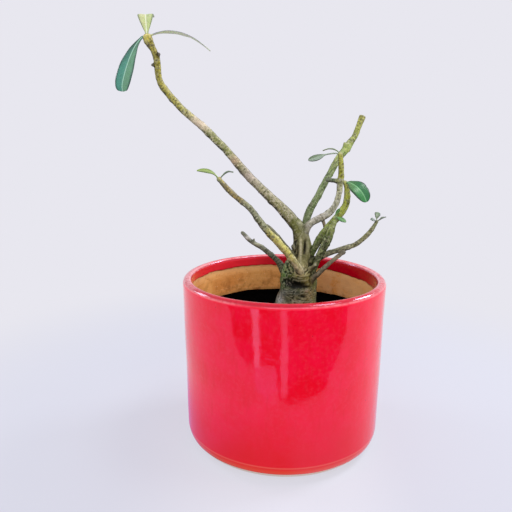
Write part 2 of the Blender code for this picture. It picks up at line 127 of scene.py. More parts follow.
# Branches, from inside the foot to the tip: x, y, z, radius
BRANCHES = {
    "long_left": [
        (11.5, 0, 140, 4.6), (9.6, 0, 150.6, 4.6), (6.3, 2, 155, 4.4), (1.3, 3.3, 160.4, 4.0),
        (-3.8, 4.8, 165.6, 3.6), (-13.7, 6.8, 174.6, 3.2), (-23.7, 8.4, 184, 3.0), (-33.6, 9.7, 194.9, 2.9),
        (-40.7, 10.6, 203, 2.7), (-47.8, 11.4, 209.8, 2.7), (-57.7, 12.3, 219.2, 2.6), (-69.6, 13, 229, 2.4),
        (-77, 13, 236.8, 2.4), (-82.6, 12, 243.6, 2.3), (-85.5, 11, 250, 2.2), (-86.2, 10, 261, 2.25),
        (-87.8, 9, 266.8, 2.1), (-89.2, 8.5, 270, 2.2), (-90.9, 8, 273.2, 3.3), (-91.4, 8, 274.9, 2.9),
    ],
    "tall_back": [
        (12, 1, 141, 3.4), (16.5, 8, 160, 2.7), (23, 12, 172, 2.4), (36, 22, 195, 2.4),
        (42.6, 26.5, 203.5, 2.9), (45.8, 29, 208.2, 2.5), (49, 31, 212.3, 2.1), (51.4, 32.5, 218.8, 2.1),
        (54.3, 34, 226.4, 2.4),
    ],
    "fork_right": [
        (12, -1, 143, 3.2), (16.5, -1, 153.5, 2.6), (23.4, 0, 157.8, 2.3), (29.8, 1, 161.4, 2.3),
        (35, 2.5, 168.2, 2.1), (36.6, 3, 176, 1.95), (37, 3, 183, 2.3), (37.5, 3, 188, 2.0),
        (36.7, 2, 198, 1.85), (36.3, 2, 200.5, 1.6),
    ],
    "hooked_right": [
        (16, -1, 127, 2.2), (18.6, -1.2, 132.4, 2.0), (21, -3, 138.3, 2.2), (23.6, -5.6, 144.6, 2.6),
        (28.6, -9, 152.4, 2.7), (33.4, -10.5, 159.2, 2.4), (38.4, -11, 165.6, 2.3), (40.4, -11, 172, 2.2),
        (40, -11, 180, 1.8), (38.8, -11, 183.3, 1.5),
    ],
    "sprig_right": [
        (18, -3, 118, 2.6), (21.2, -6.4, 126.6, 2.3), (23.7, -9.4, 134.2, 2.4), (26.3, -12.4, 140.6, 2.8),
        (28.6, -15.4, 146.6, 2.8), (30.1, -17.6, 152.6, 2.4), (32, -18, 158.4, 1.8), (32.4, -18, 161.2, 1.4),
    ],
    "low_right": [
        (12, -2, 121, 3.4), (17, -3, 127, 2.8), (25, -5, 132.4, 2.1), (31, -6, 135.5, 1.9),
        (37.5, -7, 138, 2.0), (43, -8, 140.2, 1.9), (48.4, -8.5, 142.6, 1.7), (55.4, -9.5, 149.4, 1.6),
        (59, -10, 155, 1.4), (60.4, -10, 158, 1.1),
    ],
    "stub_right": [
        (13, -3, 108, 2.6), (18, -6.6, 115.4, 2.2), (22, -10, 120.6, 1.8), (25, -12, 124.4, 1.6),
        (28.3, -14, 128.3, 1.5), (33.3, -15.5, 133.4, 1.4), (37.2, -16, 136.8, 1.4), (39, -16, 138.2, 1.6),
    ],
    "curved_left": [
        (12.6, -2, 114, 2.4), (12.2, -8.4, 119.8, 2.5), (10.4, -11.8, 125, 2.6), (7.6, -14, 129.8, 2.6),
        (4.2, -16, 134.6, 2.6), (0.9, -18, 139.4, 2.5), (-4, -21, 145.4, 2.6), (-12.6, -25, 155.5, 2.4),
        (-21.5, -29, 168, 1.9), (-32.5, -33, 178, 1.8), (-40.3, -35, 186.6, 1.5),
    ],
    "twig_behind": [(10, -2, 127, 2.6), (4, -5, 135.5, 2.0), (-7, -9, 149.5, 1.7), (-11.5, -10, 154, 1.4)],
    "low_left": [
        (6, 2, 112, 4.4), (-0.5, 5, 121, 2.9), (-5, 7, 127, 2.0), (-16, 11, 135, 1.8),
        (-24, 14, 139, 1.6), (-30, 16, 144.5, 1.3),
    ],
    "snag_front": [(15, -4, 120, 2.4), (18.6, -7.6, 125.4, 1.5), (21.6, -10.4, 128.2, 1.1)],
    "snag_left": [(10, -2, 135, 2.4), (5.4, -3, 139.8, 1.3)],
    "snag_hanging": [(25, 0.6, 159.4, 1.4), (26.8, 1.5, 154.6, 1.2), (27.6, 2, 150.4, 0.9)],
    "snag_link": [(36.5, 3, 182.5, 1.6), (32.5, 4.5, 183.3, 1.5), (28.8, 6, 183.5, 1.5)],
    "snag_thorn": [(-22, 13, 137, 1.0), (-21.4, 13.2, 140.6, 0.7)],
    "bud_right": [(-86, 10, 263.6, 1.5), (-84.6, 9, 264.8, 1.2)],
    "bud_left": [(-87, 10, 257.6, 1.0), (-89, 9, 258.2, 1.05)],
    "shoulder_back": [(42, 26, 203.5, 2.2), (42.6, 26, 208, 2.0)],
}
SCARRED = [
    "long_left", "tall_back", "fork_right", "hooked_right", "sprig_right", "low_right", "curved_left",
    "low_left",
]
CUT_ENDS = ["tall_back", "snag_front", "snag_left", "shoulder_back"]

# Bark colours along each branch: share of its length, paint code
BARK_TONES = {
    "long_left": [
        (0, "74763c"), (0.09, "6f7236"), (0.16, "94905e"), (0.26, "a39c72"), (0.34, "aba286"),
        (0.41, "86824c"), (0.46, "80853c"), (0.57, "84893a"), (0.6, "e4d0b0"), (0.65, "d0c49c"),
        (0.69, "a0a048"), (0.8, "a8a03c"), (0.88, "a0983a"), (0.965, "a89e38"), (1, "ccbe4c"),
    ],
    "tall_back": [
        (0, "5c6844"), (0.2, "5f7440"), (0.5, "64803c"), (0.62, "a0ac50"), (0.72, "9cb854"),
        (0.84, "93a238"), (1, "b0ac4a"),
    ],
    "fork_right": [
        (0, "8e8c70"), (0.3, "bcb6a8"), (0.5, "c4c4a8"), (0.66, "c8c89c"), (0.74, "b0b070"),
        (0.78, "a8a828"), (1, "a8ac30"),
    ],
    "hooked_right": [(0, "5c6c38"), (0.3, "688440"), (0.5, "94a448"), (0.8, "a8b038"), (1, "acb03c")],
    "sprig_right": [(0, "5c6434"), (0.3, "4c6430"), (0.7, "587034"), (0.88, "808c34"), (1, "8ca440")],
    "low_right": [
        (0, "4c4c30"), (0.3, "54583a"), (0.5, "74745c"), (0.7, "7c7c4c"), (0.85, "747440"), (1, "64702f"),
    ],
    "stub_right": [(0, "3c301a"), (0.3, "302410"), (0.5, "4c3c22"), (0.8, "66563a"), (1, "4a3c28")],
    # curved_left's bright yellow lower part is partly its bark's own tone and partly a painted patch of
    # light.
    "curved_left": [
        (0, "b4a884"), (0.06, "e4d8b4"), (0.16, "e0d4a4"), (0.22, "bcb468"), (0.3, "c8c058"),
        (0.52, "c6bf50"), (0.56, "7c8050"), (0.66, "7f8560"), (0.77, "737449"), (0.82, "7c6c34"),
        (0.95, "7e6e38"), (1, "8a9048"),
    ],
    "twig_behind": [(0, "5a5c3c"), (1, "4c5030")],
    # low_left's dark greens are partly painted shade, for the shade it lies in.
    "low_left": [(0, "2c4816"), (0.36, "30421a"), (0.55, "4c5438"), (0.8, "626a54"), (1, "444c38")],
    "snag_front": [(0, "5c5a3a"), (1, "a49c78")],
    "snag_left": [(0, "5c5638"), (1, "302c1e")],
    "snag_hanging": [(0, "8a7458"), (1, "8c6c54")],
    "snag_link": [(0, "6a7440"), (0.4, "3c5434"), (1, "3c5838")],
    "snag_thorn": [(0, "4a5236"), (1, "403f2c")],
    "bud_right": [(0, "6f6a3c"), (1, "2e281c")],
    "bud_left": [(0, "6f6a3c"), (1, "35302a")],
    "shoulder_back": [(0, "8c9a54"), (1, "a4ae60")],
    "foot": [
        (0, "5a4a38"), (0.35, "7c7860"), (0.45, "70704c"), (0.6, "6f7042"), (0.72, "7c7848"),
        (0.85, "7c7650"), (1, "7c7a4c"),
    ],
}

# Blotches on each branch: share from and to, size across and along, how much, strength, paint code
BLOTCHES = {
    "long_left": [
        (0.1, 0.36, 1.4, 0.8, 0.5, 0.6, "cfc4b0"),
        (0.4, 0.7, 1.4, 0.7, 0.46, 0.6, "d4cca8"),
        (0, 0.7, 1.4, 1.0, 0.42, 0.65, "4c5020"),
        (0.66, 1, 1.2, 0.9, 0.5, 0.5, "c9bc50"),
        (0.66, 1, 1.1, 1.0, 0.42, 0.7, "4c4210"),
    ],
    "tall_back": [
        (0.05, 0.7, 1.1, 3.0, 0.5, 0.5, "9cac80"),
        (0.05, 0.7, 1.1, 3.5, 0.46, 0.65, "2c4018"),
        (0.7, 1, 1.4, 1.4, 0.46, 0.6, "c8cc6c"),
        (0.76, 1, 1.3, 1.3, 0.46, 0.75, "44440f"),
    ],
    "fork_right": [
        (0, 0.76, 1.6, 1.5, 0.5, 0.5, "c4c0bc"),
        (0, 0.76, 1.6, 1.3, 0.42, 0.65, "4c4a34"),
        (0.76, 1, 1.6, 1.6, 0.45, 0.8, "5c5218"),
    ],
    "hooked_right": [
        (0.2, 1, 1.4, 1.3, 0.42, 0.7, "3e4418"),
        (0, 0.5, 1.3, 1.8, 0.46, 0.6, "94a468"),
    ],
    "sprig_right": [
        (0, 1, 1.3, 1.6, 0.46, 0.7, "b0bc84"),
        (0, 1, 1.6, 2.0, 0.42, 0.65, "2f3a1e"),
    ],
    "low_right": [
        (0, 1, 1.3, 1.2, 0.48, 0.75, "26240f"),
        (0.3, 1, 1.3, 0.9, 0.46, 0.6, "b8b48c"),
    ],
    "stub_right": [
        (0, 1, 1.5, 1.5, 0.46, 0.7, "2f2818"),
        (0.2, 1, 1.5, 1.5, 0.4, 0.5, "a8987c"),
    ],
    "curved_left": [
        (0.1, 0.28, 1.6, 2.5, 0.5, 0.6, "e0d8a8"),
        (0.18, 0.3, 1.4, 3.0, 0.42, 0.6, "5c5c30"),
        (0.28, 0.55, 1.5, 1.2, 0.45, 0.6, "e2dc84"),
        (0.28, 0.55, 1.4, 1.6, 0.34, 0.8, "5c5c1c"),
        (0.55, 0.8, 1.4, 0.9, 0.42, 0.55, "c0c2a4"),
        (0.55, 0.8, 1.4, 1.6, 0.44, 0.7, "343a20"),
        (0.8, 1, 1.5, 1.2, 0.4, 0.6, "c0a44c"),
        (0.8, 1, 1.4, 1.4, 0.42, 0.7, "3a2f18"),
    ],
    "low_left": [
        (0.35, 1, 1.4, 1.6, 0.4, 0.5, "9aa494"),
        (0, 1, 1.4, 1.6, 0.5, 0.75, "161c0e"),
    ],
}

# Single marks on the branches: place, reach, strength, paint code
BRANCH_MARKS = [
    ((-89.2, 7.5, 270.4), (3.2, 4, 0.7), 0.75, "4a3d1c"),
    ((-92, 5.5, 274.2), (1.6, 2, 1.5), 0.6, "d8ca66"),
    ((-7.6, -24.5, 149.8), (1.0, 2, 0.9), 0.95, "17150c"),
    ((-2, -23, 144.5), (1.2, 2.5, 1.6), 0.6, "e8e28c"),
    ((41.6, 25.6, 206.5), (2.4, 3, 2.6), 0.5, "aab468"),
    ((46.8, 27.5, 209.5), (1.6, 3, 1.0), 0.8, "2f3416"),
    ((53.2, 33, 226.2), (0.8, 1.2, 1.2), 0.85, "3a3018"),
    ((55.6, 33, 226.4), (0.8, 1.2, 1.2), 0.85, "3a3018"),
    ((-28, 15.5, 143.6), (2, 2, 1.6), 0.7, "2e3424"),
    ((-83.6, 8, 265), (2.4, 3.4, 2.4), 1.5, "241a0a"),
    ((-90, 8.4, 258.3), (2.2, 3, 2), 1.5, "241c0e"),
    # Painted highlight: pale marks along the lower left side of curved_left.
    ((6.2, -14.4, 128), (2.6, 4, 3.2), 0.9, "e4d8b0"),
    ((2.2, -17, 133.6), (2.6, 4, 3.2), 0.8, "d4c888"),
    ((-2, -19.6, 139), (2.4, 4, 3), 0.8, "dcd080"),
    ((-6.6, -22.4, 144.6), (2.4, 4, 3), 0.7, "e4da8c"),
    # On low_left: pale marks along its upper edge are painted highlight, and the dark mark at its base
    # painted shade.
    ((-25.7, 12, 141.6), (3.4, 4, 1.2), 0.9, "d4d0cc"),
    ((-18.4, 8.6, 137.8), (4.6, 4, 1.3), 0.9, "d0d0b0"),
    ((-5.5, 4, 127), (5, 7, 5), 1.4, "20300a"),
    ((21, -9, 118.6), (3.4, 5, 3.2), 0.9, "1c1408"),
    ((35.6, -15.4, 134), (2.6, 3, 2.2), 0.6, "b4a484"),
    ((-59, 10, 221), (5.2, 4, 3.6), 0.75, "ecd6bc"),
    ((-34.4, 7, 196), (3.4, 4, 3.4), 0.65, "d4b498"),
    ((-24, 6, 185.6), (6, 3, 4.2), 0.5, "c0aca4"),
    ((38, -17.4, 138), (2.6, 3, 1.4), 0.8, "2c2010"),
]

# The foot's folds, hollows and ridges: place, reach, push, strength of tone, paint code; dark codes in
# hollows are painted shade, pale codes on ridges partly painted highlight
FOOT_FORMS = [
    ((1.5, -11, 120), (3.6, 9, 8), -0.2, 0.8, "3c6420"),
    ((4.4, -12, 118.6), (3.4, 8, 4), -0.2, 0.75, "26361a"),
    ((10.5, -13, 120.2), (5, 8, 0.9), 0.3, 0.7, "8c8a40"),
    ((11.6, -13, 118.6), (5, 8, 0.7), -0.4, 0.9, "1c2210"),
    ((13.6, -13, 121.4), (3.4, 8, 0.9), 0.3, 0.7, "b0a65c"),
    ((14.4, -13, 119.6), (3.4, 8, 0.6), -0.4, 0.8, "2c2e16"),
    ((16.6, -12, 117.4), (2.8, 7, 2.6), 0.3, 0.9, "a89c60"),
    ((6.4, -13, 124.6), (0.8, 6, 3.4), -0.6, 0.9, "1a2010"),
    ((3.6, -13, 125), (0.7, 6, 3.0), -0.5, 0.8, "23301a"),
    ((8.2, -13, 114.1), (8.2, 11, 2.9), -1.7, 1.9, "070a04"),
    ((2.5, -12, 116.4), (3.0, 8, 1.3), -0.9, 1.2, "0e140a"),
    ((15.4, -12, 112.6), (2.6, 7, 1.2), -0.9, 1.0, "14160e"),
    ((8.9, -7, 138), (0.9, 5, 7), -0.9, 0.8, "3a3018"),
    ((11.3, -7, 138), (0.8, 5, 7.5), 0.6, 0.85, "c8bf9a"),
    ((14.2, -7, 139), (0.9, 5, 4), -1.2, 0.9, "231d10"),
    ((16.4, -6, 138), (1.0, 5, 6), 0.4, 0.6, "9a9a64"),
    ((9.4, -6, 147), (1.6, 5, 1.2), 0.7, 0.5, "a5a07e"),
    ((8.2, -6.5, 146.8), (0.5, 5, 0.6), -0.4, 0.8, "2c2618"),
    ((15, -12, 126), (4, 8, 4), 0.3, 0.85, "aaa074"),
    ((16, -12, 119.6), (3.2, 7, 3), 0.3, 0.85, "98904e"),
    ((17.4, -12, 114), (2, 7, 2), 0.4, 0.8, "a09a58"),
    ((15.6, -12, 109.8), (1.4, 6, 1.0), 0.2, 0.7, "8c5c54"),
    ((18, -11, 106.6), (4.4, 9, 4), 0.2, 0.8, "8c7444"),
    ((7, -14, 108.8), (7, 10, 2.4), 0.2, 1.1, "3a4032"),
    ((0.5, -12, 108), (4.6, 10, 2.8), 0.3, 1.1, "404c44"),
    ((-3.6, -10, 102.6), (3.8, 10, 3.6), 0.0, 0.95, "b4b8be"),
    ((3.6, -13, 103), (3.4, 9, 2.0), -0.3, 0.8, "3c4034"),
    ((9, -13, 102.6), (3.4, 9, 1.6), 0.2, 0.7, "a0907c"),
    ((13.2, -12, 106.4), (2.2, 6, 0.9), -0.7, 1.0, "100d08"),
    ((11, -12, 104.4), (1.8, 6, 0.7), -0.5, 0.8, "1c180f"),
    ((20.4, -9, 131.6), (1.5, 6, 1.5), -0.7, 0.9, "17180e"),
    ((18.4, -10, 127.2), (1.2, 6, 1.2), -0.7, 0.9, "17180e"),
]
# The fan of folds under the front branch
FOLDS = ((11.3, -11, 128), (1.35, 1.8, 1))  # its middle and its stretch
FOLD_SPACING = 2.2

# Leaves
LARGE_LEAF = 15.0  # length from which a leaf has finer rows
STALK_WIDTH = 0.13  # as a share of the leaf's greatest width
TIP_WIDTH = 0.1  # the same, at the very end
BLADE = 0.8  # thickness at the midrib
MARGIN = 0.38  # share of that thickness at the margin
ROOTING = 0.5  # how deep a leaf is set in its bud
CURL = 0.10  # how far the margin bends back, as a share of the half width
RIPPLE = 0.025  # height of the ripples along the margin, the same way
MIDRIB_DEPTH = 0.10
MIDRIB_WIDTH = 0.5
UV_SIZE = (40, 100)  # millimetres across and along a leaf that its map spans
VEINS = 42.0  # side veins along the whole map
VEIN_SLANT = 0.32  # how far they run towards the tip on their way to the margin


class Leaf(NamedTuple):
    branch: str  # whose tip carries it
    width: float
    widest: float  # share of the length at which it is that wide
    stalk: float  # share of the length that is stalk
    fold: float  # degrees by which each half rises from the midrib
    face: tuple  # the way its upper side looks
    midrib: list  # x, y, z, from just off the branch's tip
    tip: float  # how blunt the end is: lower is blunter
    tones: tuple  # left half, right half, margin, midrib, base; the greyer base tone is partly a painted sheen


LEAVES = {
    "leaf_long_hanging": Leaf(
        "long_left", 11.2, 0.74, 0.07, 9, (-0.15, -1, 0.25),
        [
            (-94.6, 6.8, 275.2), (-98.6, 4.4, 269.7), (-101.9, 2, 262.3), (-104.9, 0, 253.2), (-107, -1, 245),
            (-107.2, -0.6, 240.6),
        ],
        0.24, ("4c8f7c", "6a9a7a", "264c40", "a4d0b8", "3f5f50"),
    ),
    "leaf_long_upright": Leaf(
        "long_left", 10.7, 0.62, 0.0, 6, (0.08, -1, 0.6),
        [(-92.3, 9.8, 279.6), (-93.4, 13.5, 285.6), (-94.4, 17.2, 290), (-95, 20.6, 291.4), (-95, 31, 292.2)],
        0.3, ("b4c088", "c4c890", "5f6e4c", "e8ead0", "b8c484"),
    ),
    "leaf_long_arching": Leaf(
        "long_left", 7.6, 0.46, 0.04, 8, (0.04, 0.13, 1),
        [
            (-87.9, 7.6, 276.8), (-83.4, 7, 277.8), (-77.4, 6.5, 278.1), (-71.6, 5.5, 277.4),
            (-62.7, 4, 274.8), (-54.5, 3, 270), (-49.2, 1, 265.8),
        ],
        1.5, ("c0c6b0", "b6b8b2", "9a9aa0", "c4c8b0", "c4d088"),
    ),
    "leaf_curved_long": Leaf(
        "curved_left", 4.8, 0.55, 0.16, 10, (0.1, -0.5, 1),
        [(-42, -36, 189.2), (-44.8, -37, 191.1), (-49, -38, 192.1), (-53.2, -39, 192.2)],
        0.6, ("7c9244", "7a8c4a", "5c7038", "98ac5c", "74844a"),
    ),
    "leaf_curved_short": Leaf(
        "curved_left", 2.2, 0.6, 0.25, 12, (0, -0.25, 1),
        [(-38.2, -34.2, 189), (-36.5, -33.3, 190.4), (-34.3, -32.4, 191.3), (-31.8, -31, 190.9)],
        0.8, ("4c5c48", "54664c", "3c4a3a", "6a7a5c", "4c5844"),
    ),
    "leaf_fork_spoon": Leaf(
        "fork_right", 4.8, 0.76, 0.42, 8, (-0.1, -1, 0.7),
        [(33.4, 1.8, 201.4), (27.4, 0, 200.8), (21.5, -3, 199), (15, -6, 197)],
        0.5, ("5c7050", "7a8a78", "2c3a26", "8a9a84", "848f78"),
    ),
    "leaf_fork_narrow": Leaf(
        "fork_right", 2.0, 0.5, 0.25, 12, (0, -0.3, 1),
        [(34.6, 3.8, 202.8), (31.8, 6, 204), (28.6, 9, 204), (25.2, 11, 202.8)],
        0.8, ("66764e", "70825a", "4a5840", "84946a", "6c7850"),
    ),
    "leaf_round": Leaf(
        "hooked_right", 11.6, 0.5, 0.05, 8, (0.35, -1, 0.6),
        [(42.2, -14.2, 183), (46.4, -18, 180.4), (49.5, -20.2, 176.4), (51.5, -21.5, 172)],
        0.42, ("357c40", "246a38", "103018", "78b078", "587a4a"),
    ),
    "leaf_sprig_side": Leaf(
        "sprig_right", 3.6, 0.65, 0.2, 8, (0, -0.7, 1),
        [(33.6, -20.2, 162), (35.6, -22.4, 161.2), (39, -24, 159.5)],
        0.6, ("54824a", "5c8a4e", "345c34", "74a05c", "5c7c44"),
    ),
    "leaf_sprig_up": Leaf(
        "sprig_right", 2.4, 0.6, 0.2, 8, (0.5, -1, 0),
        [(32.9, -17.6, 163.4), (34, -17.6, 165.2), (35.5, -17.8, 167.4)],
        0.7, ("4c7838", "54823e", "3a602c", "68964c", "54783c"),
    ),
    "leaf_low_fan": Leaf(
        "low_right", 4.0, 0.75, 0.1, 10, (0, -1, 0.6),
        [(60.6, -9, 160.2), (61.1, -7.6, 161.6), (61.8, -5, 163.2)],
        0.5, ("5c7054", "68785c", "3a4a38", "7c8c6c", "6c7458"),
    ),
    "leaf_low_point": Leaf(
        "low_right", 1.8, 0.5, 0.2, 10, (0, -0.4, 1),
        [(62.2, -10.4, 159.2), (63.8, -10.6, 160.4), (66.4, -10.4, 161.1)],
        0.8, ("5c6654", "626c58", "444e42", "727c6a", "5c6450"),
    ),
    "leaf_low_left": Leaf(
        "low_right", 2.8, 0.65, 0.2, 8, (0, -0.8, 1),
        [(59, -11.4, 158.8), (57.9, -12, 159.4), (56, -12.8, 159.8)],
        0.7, ("46584a", "4e6050", "303f32", "5c6e5c", "4c5c48"),
    ),
}

# Stage
PAPER = "e8e7ef"
FLOOR_REACH = 12000.0
SHADE_REACH = 420.0
SHADE_SHARE = 0.7  # how much of the floor by the pot is a glow, and not lit paper
CARD_HEIGHT = 0.5
DARK_CARD = [
    (-296, -225), (-237, -195), (-192, -182), (-151, -183), (-121, -185), (-105, -199), (-74, -220),
    (-31, -234), (-19, -197), (-7, -169), (20, -162), (53, -157), (94, -148), (120, -138), (152, -146),
    (198, -142), (262, -130), (333, -149), (1400, -430), (900, -1200), (-900, -1200), (-1300, -690),
]
PALE_STRIPS = [  # glow, paint code, corners
    (2.5, "e8ecff", [(-99, -200), (-78, -206), (-540, -1150), (-690, -1080)]),
    (1.5, "e8ecff", [(-6, -176), (13, -174), (88, -1150), (-40, -1150)]),
    (1.4, "d0d4ff", [(-100, -200), (-31, -230), (-19, -190), (-42, -166), (-70, -168)]),
]
SOFT_FLAG = 172.0  # reach of the gentle flag round the foot
LIT_POINT = (0, 0, 100)
LIGHTS = {  # place, size, power, colour
    "front_fill": ((150, -900, 750), (1000, 450), 3.2),
    "window_right": ((640, 330, 640), (260, 260), 4.2, (0.95, 0.95, 1.0)),
    "window_left": ((-700, 280, 560), (240, 240), 1.8, (0.95, 0.95, 1.0)),
    "overhead": ((380, 0, 920), (300, 220), 2.4),
}

# Camera
CAMERA_PLACE = (0, -371, 215.25)
CAMERA_TILT = 12.75  # degrees down
CAMERA_TURN = 2.98  # degrees to the left
CAMERA_ROLL = 0.19  # degrees
LENS = 38.67


def shade(code):
    """The linear colour of a paint code."""
    parts = [int(code[i:i + 2], 16) / 255 for i in (0, 2, 4)]
    return (*[p / 12.92 if p < 0.04 else ((p + 0.055) / 1.055) ** 2.4 for p in parts], 1.0)


class Finish:
    """A Principled material, with short ways to add nodes to it."""

    def __init__(self, name):
        self.material = bpy.data.materials.new(name)
        self.material.use_nodes = True
        self.tree = self.material.node_tree
        self.shader = self.tree.nodes["Principled BSDF"]
        self.place = self.node("TexCoord").outputs["Object"]

    def node(self, kind, **settings):
        made = self.tree.nodes.new("ShaderNode" + kind)
        for name, value in settings.items():
            setattr(made, name, value)
        return made

    def feed(self, socket, value):
        if isinstance(value, bpy.types.NodeSocket):
            self.tree.links.new(value, socket)
        else:
            socket.default_value = value

    def set(self, **values):
        """Sets or links the shader's own sockets, named with _ for a space."""
        for name, value in values.items():
            self.feed(self.shader.inputs[name.replace("_", " ")], value)

    def show(self, surface):
        """Makes this the material's surface, in place of the Principled shader."""
        self.feed(self.tree.nodes["Material Output"].inputs["Surface"], surface)

    def mix(self, share, first, second, blend="MIX"):
        made = self.node("Mix", data_type="RGBA", blend_type=blend)
        for i, value in ((0, share), (6, first), (7, second)):
            self.feed(made.inputs[i], value)
        return made.outputs[2]

    def math(self, operation, first, second=0.5):
        made = self.node("Math", operation=operation)
        self.feed(made.inputs[0], first)
        self.feed(made.inputs[1], second)
        return made.outputs[0]

    def times(self, first, *others):
        for other in others:
            first = self.math("MULTIPLY", first, other)
        return first

    def over(self, base, code, *masks, blend="MIX"):
        """Lays a paint over a colour where the masks, multiplied together, are high."""
        return self.mix(self.times(*masks), base, shade(code), blend)

    def span(self, value, low, high, start=0.0, end=1.0):
        """Maps low to high onto start to end, and holds it there."""
        made = self.node("MapRange", interpolation_type="SMOOTHSTEP")
        for i, given in enumerate((value, low, high, start, end)):
            self.feed(made.inputs[i], given)
        return made.outputs[0]

    def zone(self, length, low, high, start=0.0, end=1.0):
        """A span between two lengths in millimetres."""
        return self.span(length, low * MM, high * MM, start, end)

    def band(self, length, low, high, soft):
        """1 where a length lies between two others in millimetres, with soft ends."""
        rising = self.zone(length, low - soft, low + soft)
        return self.times(rising, self.zone(length, high + soft, high - soft))

    def stretched(self, place, scale):
        made = self.node("Mapping")
        self.feed(made.inputs["Vector"], place)
        made.inputs["Scale"].default_value = scale
        return made.outputs[0]

    def grain(self, size, detail=4.0, rough=0.5, place=None, distortion=0.0):
        """Noise whose features are about this many millimetres across."""
        made = self.node("TexNoise")
        self.feed(made.inputs["Vector"], place or self.place)
        made.inputs["Scale"].default_value = 1 / (size * MM)
        made.inputs["Detail"].default_value = detail
        made.inputs["Roughness"].default_value = rough
        made.inputs["Distortion"].default_value = distortion
        return made.outputs["Fac"]

    def wandering(self, length, wander, amount):
        """A length moved by a noise of up to this many millimetres."""
        return self.math("ADD", length, self.times(wander, amount * MM))

    def cells(self, size, place=None):
        """Distance to scattered points about this many millimetres apart."""
        made = self.node("TexVoronoi")
        self.feed(made.inputs["Vector"], place or self.place)
        made.inputs["Scale"].default_value = 1 / (size * MM)
        return made.outputs["Distance"]

    def along(self, axis, place=None):
        """One coordinate, X, Y or Z."""
        made = self.node("SeparateXYZ")
        self.feed(made.inputs[0], place or self.place)
        return made.outputs[axis]

    def from_axis(self):
        """The distance from the Z axis."""
        made = self.node("VectorMath", operation="LENGTH")
        self.feed(made.inputs[0], self.stretched(self.place, (1, 1, 0)))
        return made.outputs["Value"]

    def attribute(self, name, output="Fac"):
        return self.node("Attribute", attribute_name=name).outputs[output]

    def bump(self, relief, depth, under=None):
        """A bump whose full height is this many millimetres."""
        made = self.node("Bump")
        made.inputs["Strength"].default_value = 1.0
        made.inputs["Distance"].default_value = depth * MM
        self.feed(made.inputs["Height"], relief)
        if under is not None:
            self.feed(made.inputs["Normal"], under)
        return made.outputs[0]

    def glow(self, colour, strength=1.0):
        made = self.node("Emission")
        self.feed(made.inputs["Color"], colour)
        self.feed(made.inputs["Strength"], strength)
        return made.outputs[0]


def glaze_finish():
    """Thick red glaze: deep red in places, orange over the foot, pale along the rim's inner edge, with
    painted light and shade inside the lip and painted highlights on the rim and round the foot.
    """
    f = Finish("red_glaze_finish")
    height, across, radius = f.along("Z"), f.along("X"), f.from_axis()
    inner = RIM_RADIUS - WALL
    cloud = f.span(f.grain(20, 4, 0.6), 0.36, 0.66)
    red = f.mix(cloud, shade("f40c34"), shade("ee0722"))
    mottle = f.span(f.grain(2.6, 4, 0.65), 0.42, 0.72, 0.0, 0.55)
    red = f.over(red, "f0283c", mottle)
    drips = f.span(f.grain(3.4, 3, 0.6, f.stretched(f.place, (1, 1, 0.22))), 0.5, 0.72, 0, 0.4)
    red = f.over(red, "e40a1c", drips)
    red = f.over(red, "e2161a", f.zone(f.wandering(height, f.grain(30, 2), 30), 70, 25), 0.85)
    red = f.over(red, "ea3e1e", f.zone(f.wandering(height, f.grain(9, 2), 2), 14, 9))
    # A painted highlight: a pale line round the foot, for the light caught on the small ridge where the wall
    # turns into the heel.
    red = f.over(red, "ff9478", f.band(height, 11.5, 12.1, 0.6), 0.35)
    # Painted light and shade inside the lip: bright red on the left, where light falls, and deep red on the
    # right, in shade.
    inward = f.zone(radius, inner + 1.0, inner + 0.4)
    inward = f.times(inward, f.zone(height, POT_HEIGHT - 14, POT_HEIGHT - 11))
    lip_light_and_shade = f.mix(f.zone(across, -30, 10), shade("e82836"), shade("b00018"))
    red = f.mix(f.times(inward, 0.9), red, lip_light_and_shade)
    top = f.zone(height, POT_HEIGHT - 2.2, POT_HEIGHT - 1.2)
    red = f.over(red, "b40418", top, f.span(mottle, 0, 0.5, 0.95, 0.75))
    # A painted highlight: a pale line along the rim's outer round, weaker in the middle of the front.
    rim_highlight_line = f.times(
        f.zone(radius, RIM_RADIUS - 3, RIM_RADIUS - 2),
        f.band(height, POT_HEIGHT - 2.3, POT_HEIGHT - 1.2, 0.5),
    )
    off_middle = f.math("MAXIMUM", f.zone(across, 5, 30, 0.1, 0.6), f.zone(across, -20, -35, 0.1, 0.6))
    edges = f.times(top, f.band(radius, inner + 0.2, inner + 1.3, 0.3))
    edges = f.math("MAXIMUM", edges, f.times(rim_highlight_line, off_middle))
    # Paints pale the rim's inner edge and the painted highlight line along its outer round.
    red = f.over(red, "f49a9c", edges, f.span(f.grain(4, 4, 0.65), 0.3, 0.6, 0.35, 1), 0.85)
    # Painted glints: pale flecks on the rim's top at its left and right.
    rim_glint_flanks = f.zone(f.math("ABSOLUTE", across), 48, 66)
    red = f.over(red, "d89a9e", top, rim_glint_flanks, f.span(f.grain(3, 4, 0.7), 0.35, 0.6), 0.6)
    pinholes = f.times(f.span(f.cells(6.5), 0.05, 0.028), f.span(f.grain(16, 1), 0.5, 0.56))
    red = f.over(red, "7a0e18", pinholes)
    waves = f.bump(f.grain(4.5, 2, 0.4), 0.045, f.bump(f.grain(9, 2, 0.4), 0.16))
    rings = f.bump(f.grain(2.2, 2, 0.5, f.stretched(f.place, (0.35, 0.35, 1))), 0.022, waves)
    peel = f.bump(f.grain(1.1, 3, 0.55), 0.026, rings)
    pits = f.bump(f.math("SUBTRACT", 1.0, pinholes), 0.08, peel)
    f.set(Base_Color=red, Roughness=f.span(mottle, 0, 0.5, 0.08, 0.15), Normal=pits)
    f.set(IOR=1.5, Specular_Tint=(0.45, 0.45, 0.85, 1.0))
    f.set(Coat_Weight=0.25, Coat_Roughness=0.05, Coat_IOR=1.5)
    return f.material


